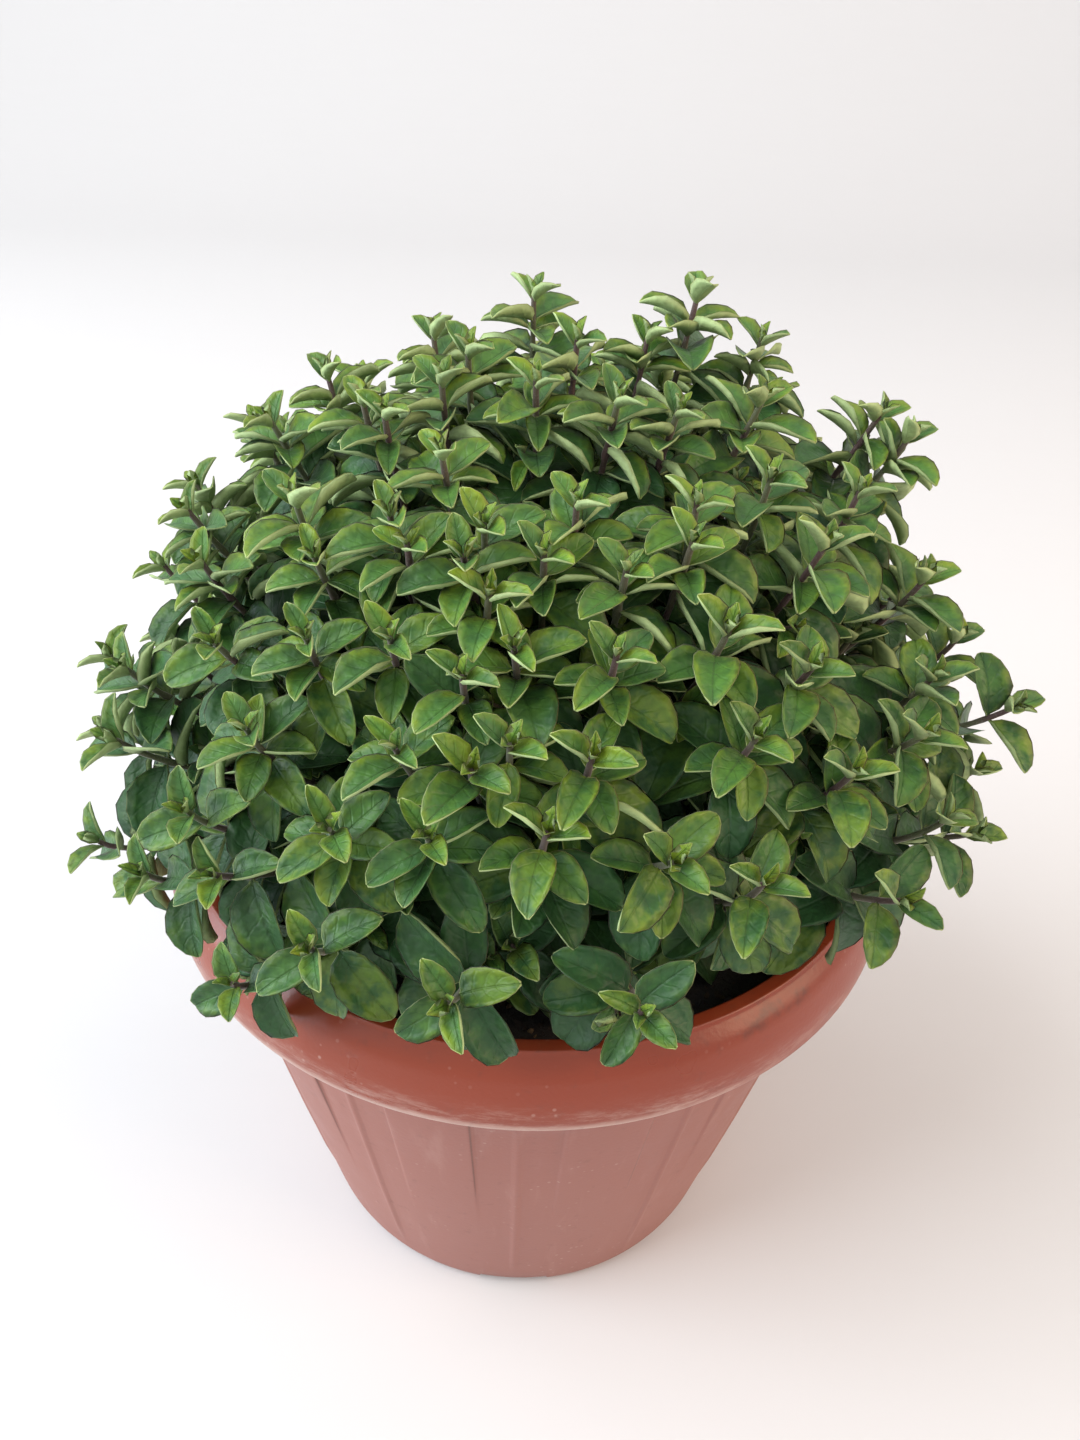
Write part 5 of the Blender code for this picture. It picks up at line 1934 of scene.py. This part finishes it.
def crumb_tree():
    """A surface in, crumbs scattered over it out."""
    tree, given = new_tree("crumbs_on_soil", {
        "Crumb Shapes": "Collection", "Smallest": "Float", "Largest": "Float",
        "Per Square Metre": "Float", "Seed": "Int", "Material": "Material",
    })

    def chance(kind, **inputs):
        return add(tree, "FunctionNodeRandomValue", inputs, data_type=kind)

    points = add(tree, "GeometryNodeDistributePointsOnFaces", {
        "Mesh": given["Geometry"], "Density": given["Per Square Metre"], "Seed": given["Seed"],
    })
    draw = chance("FLOAT", Seed=given["Seed"])
    size = add(tree, "ShaderNodeMapRange", {
        "Value": calc(tree, "POWER", draw.outputs[1], 3.0),
        "To Min": given["Smallest"], "To Max": given["Largest"],
    })
    tone = chance("FLOAT", Seed=TONE_SEED)
    toned = add(tree, "GeometryNodeStoreNamedAttribute", {
        "Geometry": points.outputs[0], "Name": "crumb", "Value": tone.outputs[1],
    }, data_type="FLOAT", domain="POINT")
    turn = chance("FLOAT_VECTOR", Max=ANY_TURN, Seed=TURN_SEED)
    rotation = add(tree, "FunctionNodeEulerToRotation", {"Euler": turn.outputs[0]})
    which = chance("INT", Seed=KIND_SEED)
    fill(tree, which, {4: 0, 5: CRUMB_KINDS - 1})
    placed = add(tree, "GeometryNodeInstanceOnPoints", {
        "Points": toned.outputs[0], "Instance": shapes_in(tree, given["Crumb Shapes"]),
        "Pick Instance": True, "Instance Index": which.outputs[2],
        "Rotation": rotation.outputs[0], "Scale": size.outputs[0],
    })
    real = add(tree, "GeometryNodeRealizeInstances", {"Geometry": placed.outputs[0]}).outputs[0]
    return end_tree(tree, with_material(tree, real, given["Material"]))


def soil_top_only():
    """The soil's upper faces, which carry the crumbs."""
    bm = bmesh.new()
    bm.from_mesh(soil.data)
    lower = [f for f in bm.faces if f.normal.z < 0.3 or f.calc_center_median().z < SOIL_TOP - 4 * MM]
    bmesh.ops.delete(bm, geom=lower, context="FACES")
    return to_mesh(bm, "soil_top")


CRUMB_SHAPES = shapes_collection("crumb_shapes", crumb_shapes())
mesh = bake(soil_top_only(), crumb_tree(), {
    "Crumb Shapes": CRUMB_SHAPES, "Smallest": 0.35 * MM, "Largest": 2.0 * MM,
    "Per Square Metre": 130000.0, "Seed": 4, "Material": SOIL,
})
piece("soil_crumbs", mesh)
clear_away(CRUMB_SHAPES)
print("crumb faces:", len(mesh.polygons))

# %% [markdown]
# ## Floor
#
# The plant stands on a pale board. An endless plane would show a horizon, so the floor bends up
# into a backdrop far behind the plant, and no edge shows from the photograph's side.

# %% Floor
FLOOR_WHITE = (0.640, 0.637, 0.640)
FLOOR_FIBRE = (0.596, 0.590, 0.588)


def floor_material():
    """Pale board with faint fibres."""
    made, tree, shader = new_material("pale_board")
    where = own_position(tree)
    fibres = grain(tree, stretched(tree, where, (1.0, 12.0, 1.0)), 9.0, 3.0)
    fill(tree, shader, {
        "Base Color": blend(tree, product(tree, fibres, 0.15), FLOOR_WHITE, FLOOR_FIBRE),
        "Roughness": 0.75,
    })
    return made


def sweep_mesh(half_width=4.0, depth=2.2, bend=0.9, height=4.0, steps=16):
    """A floor that bends up into a backdrop behind the plant."""
    line = [(-half_width, 0.0), (depth - bend, 0.0)]
    for step in range(1, steps + 1):
        turn = math.pi / 2 * step / steps
        line.append((depth - bend + bend * math.sin(turn), bend - bend * math.cos(turn)))
    line.append((depth, height))
    points = [(x, y, z) for y, z in line for x in (-half_width, half_width)]
    faces = [(2 * k, 2 * k + 1, 2 * k + 3, 2 * k + 2) for k in range(len(line) - 1)]
    made = bpy.data.meshes.new("floor")
    made.from_pydata(points, [], faces)
    made.shade_smooth()
    return made


floor = into_scene("floor", sweep_mesh())
floor.data.materials.append(floor_material())
print("floor ready")

# %% [markdown]
# ## Light
#
# The photograph has cool light from a window at the left, and a warm bounce from the right. A
# sky picture could give both, but lamps can be moved and dimmed one by one. A bright even world
# is the soft base. The lamps are large, so that they cast soft shadows. A low one at the left
# puts the cool haze on the pot's collar, and the backdrop has two lamps of its own.

# %% Light


def lamp(name, place, target, size, power, colour):
    """A soft square lamp that faces a target."""
    data = bpy.data.lights.new(name, "AREA")
    data.size = size
    data.energy = power
    data.color = colour
    made = into_scene(name, data)
    made.location = place
    made.rotation_mode = "QUATERNION"
    made.rotation_quaternion = (Vector(target) - Vector(place)).to_track_quat("-Z", "Y")


lamp("window", (-1.15, -0.35, 1.50), DOME_CENTRE, 1.3, 29.0, (0.94, 0.975, 1.0))
lamp("low_sky", (-1.35, -0.25, 0.42), DOME_CENTRE, 0.9, 13.0, (0.76, 0.88, 1.0))
lamp("bounce", (1.15, -0.40, 0.75), DOME_CENTRE, 0.8, 9.5, (1.0, 0.70, 0.46))
lamp("backdrop_left", (-1.4, 0.9, 1.9), (-0.5, 2.2, 0.5), 1.2, 9.5, (0.98, 0.99, 1.0))
lamp("backdrop_right", (1.4, 0.9, 1.9), (0.5, 2.2, 0.5), 1.2, 9.5, (1.0, 0.82, 0.70))
world = bpy.data.worlds.new("soft_room")
world.use_nodes = True
fill(world.node_tree, world.node_tree.nodes["Background"], {
    "Color": (0.97, 0.98, 1.0, 1.0),
    "Strength": 0.82,
})
bpy.context.scene.world = world
bpy.context.scene.view_settings.view_transform = "Standard"
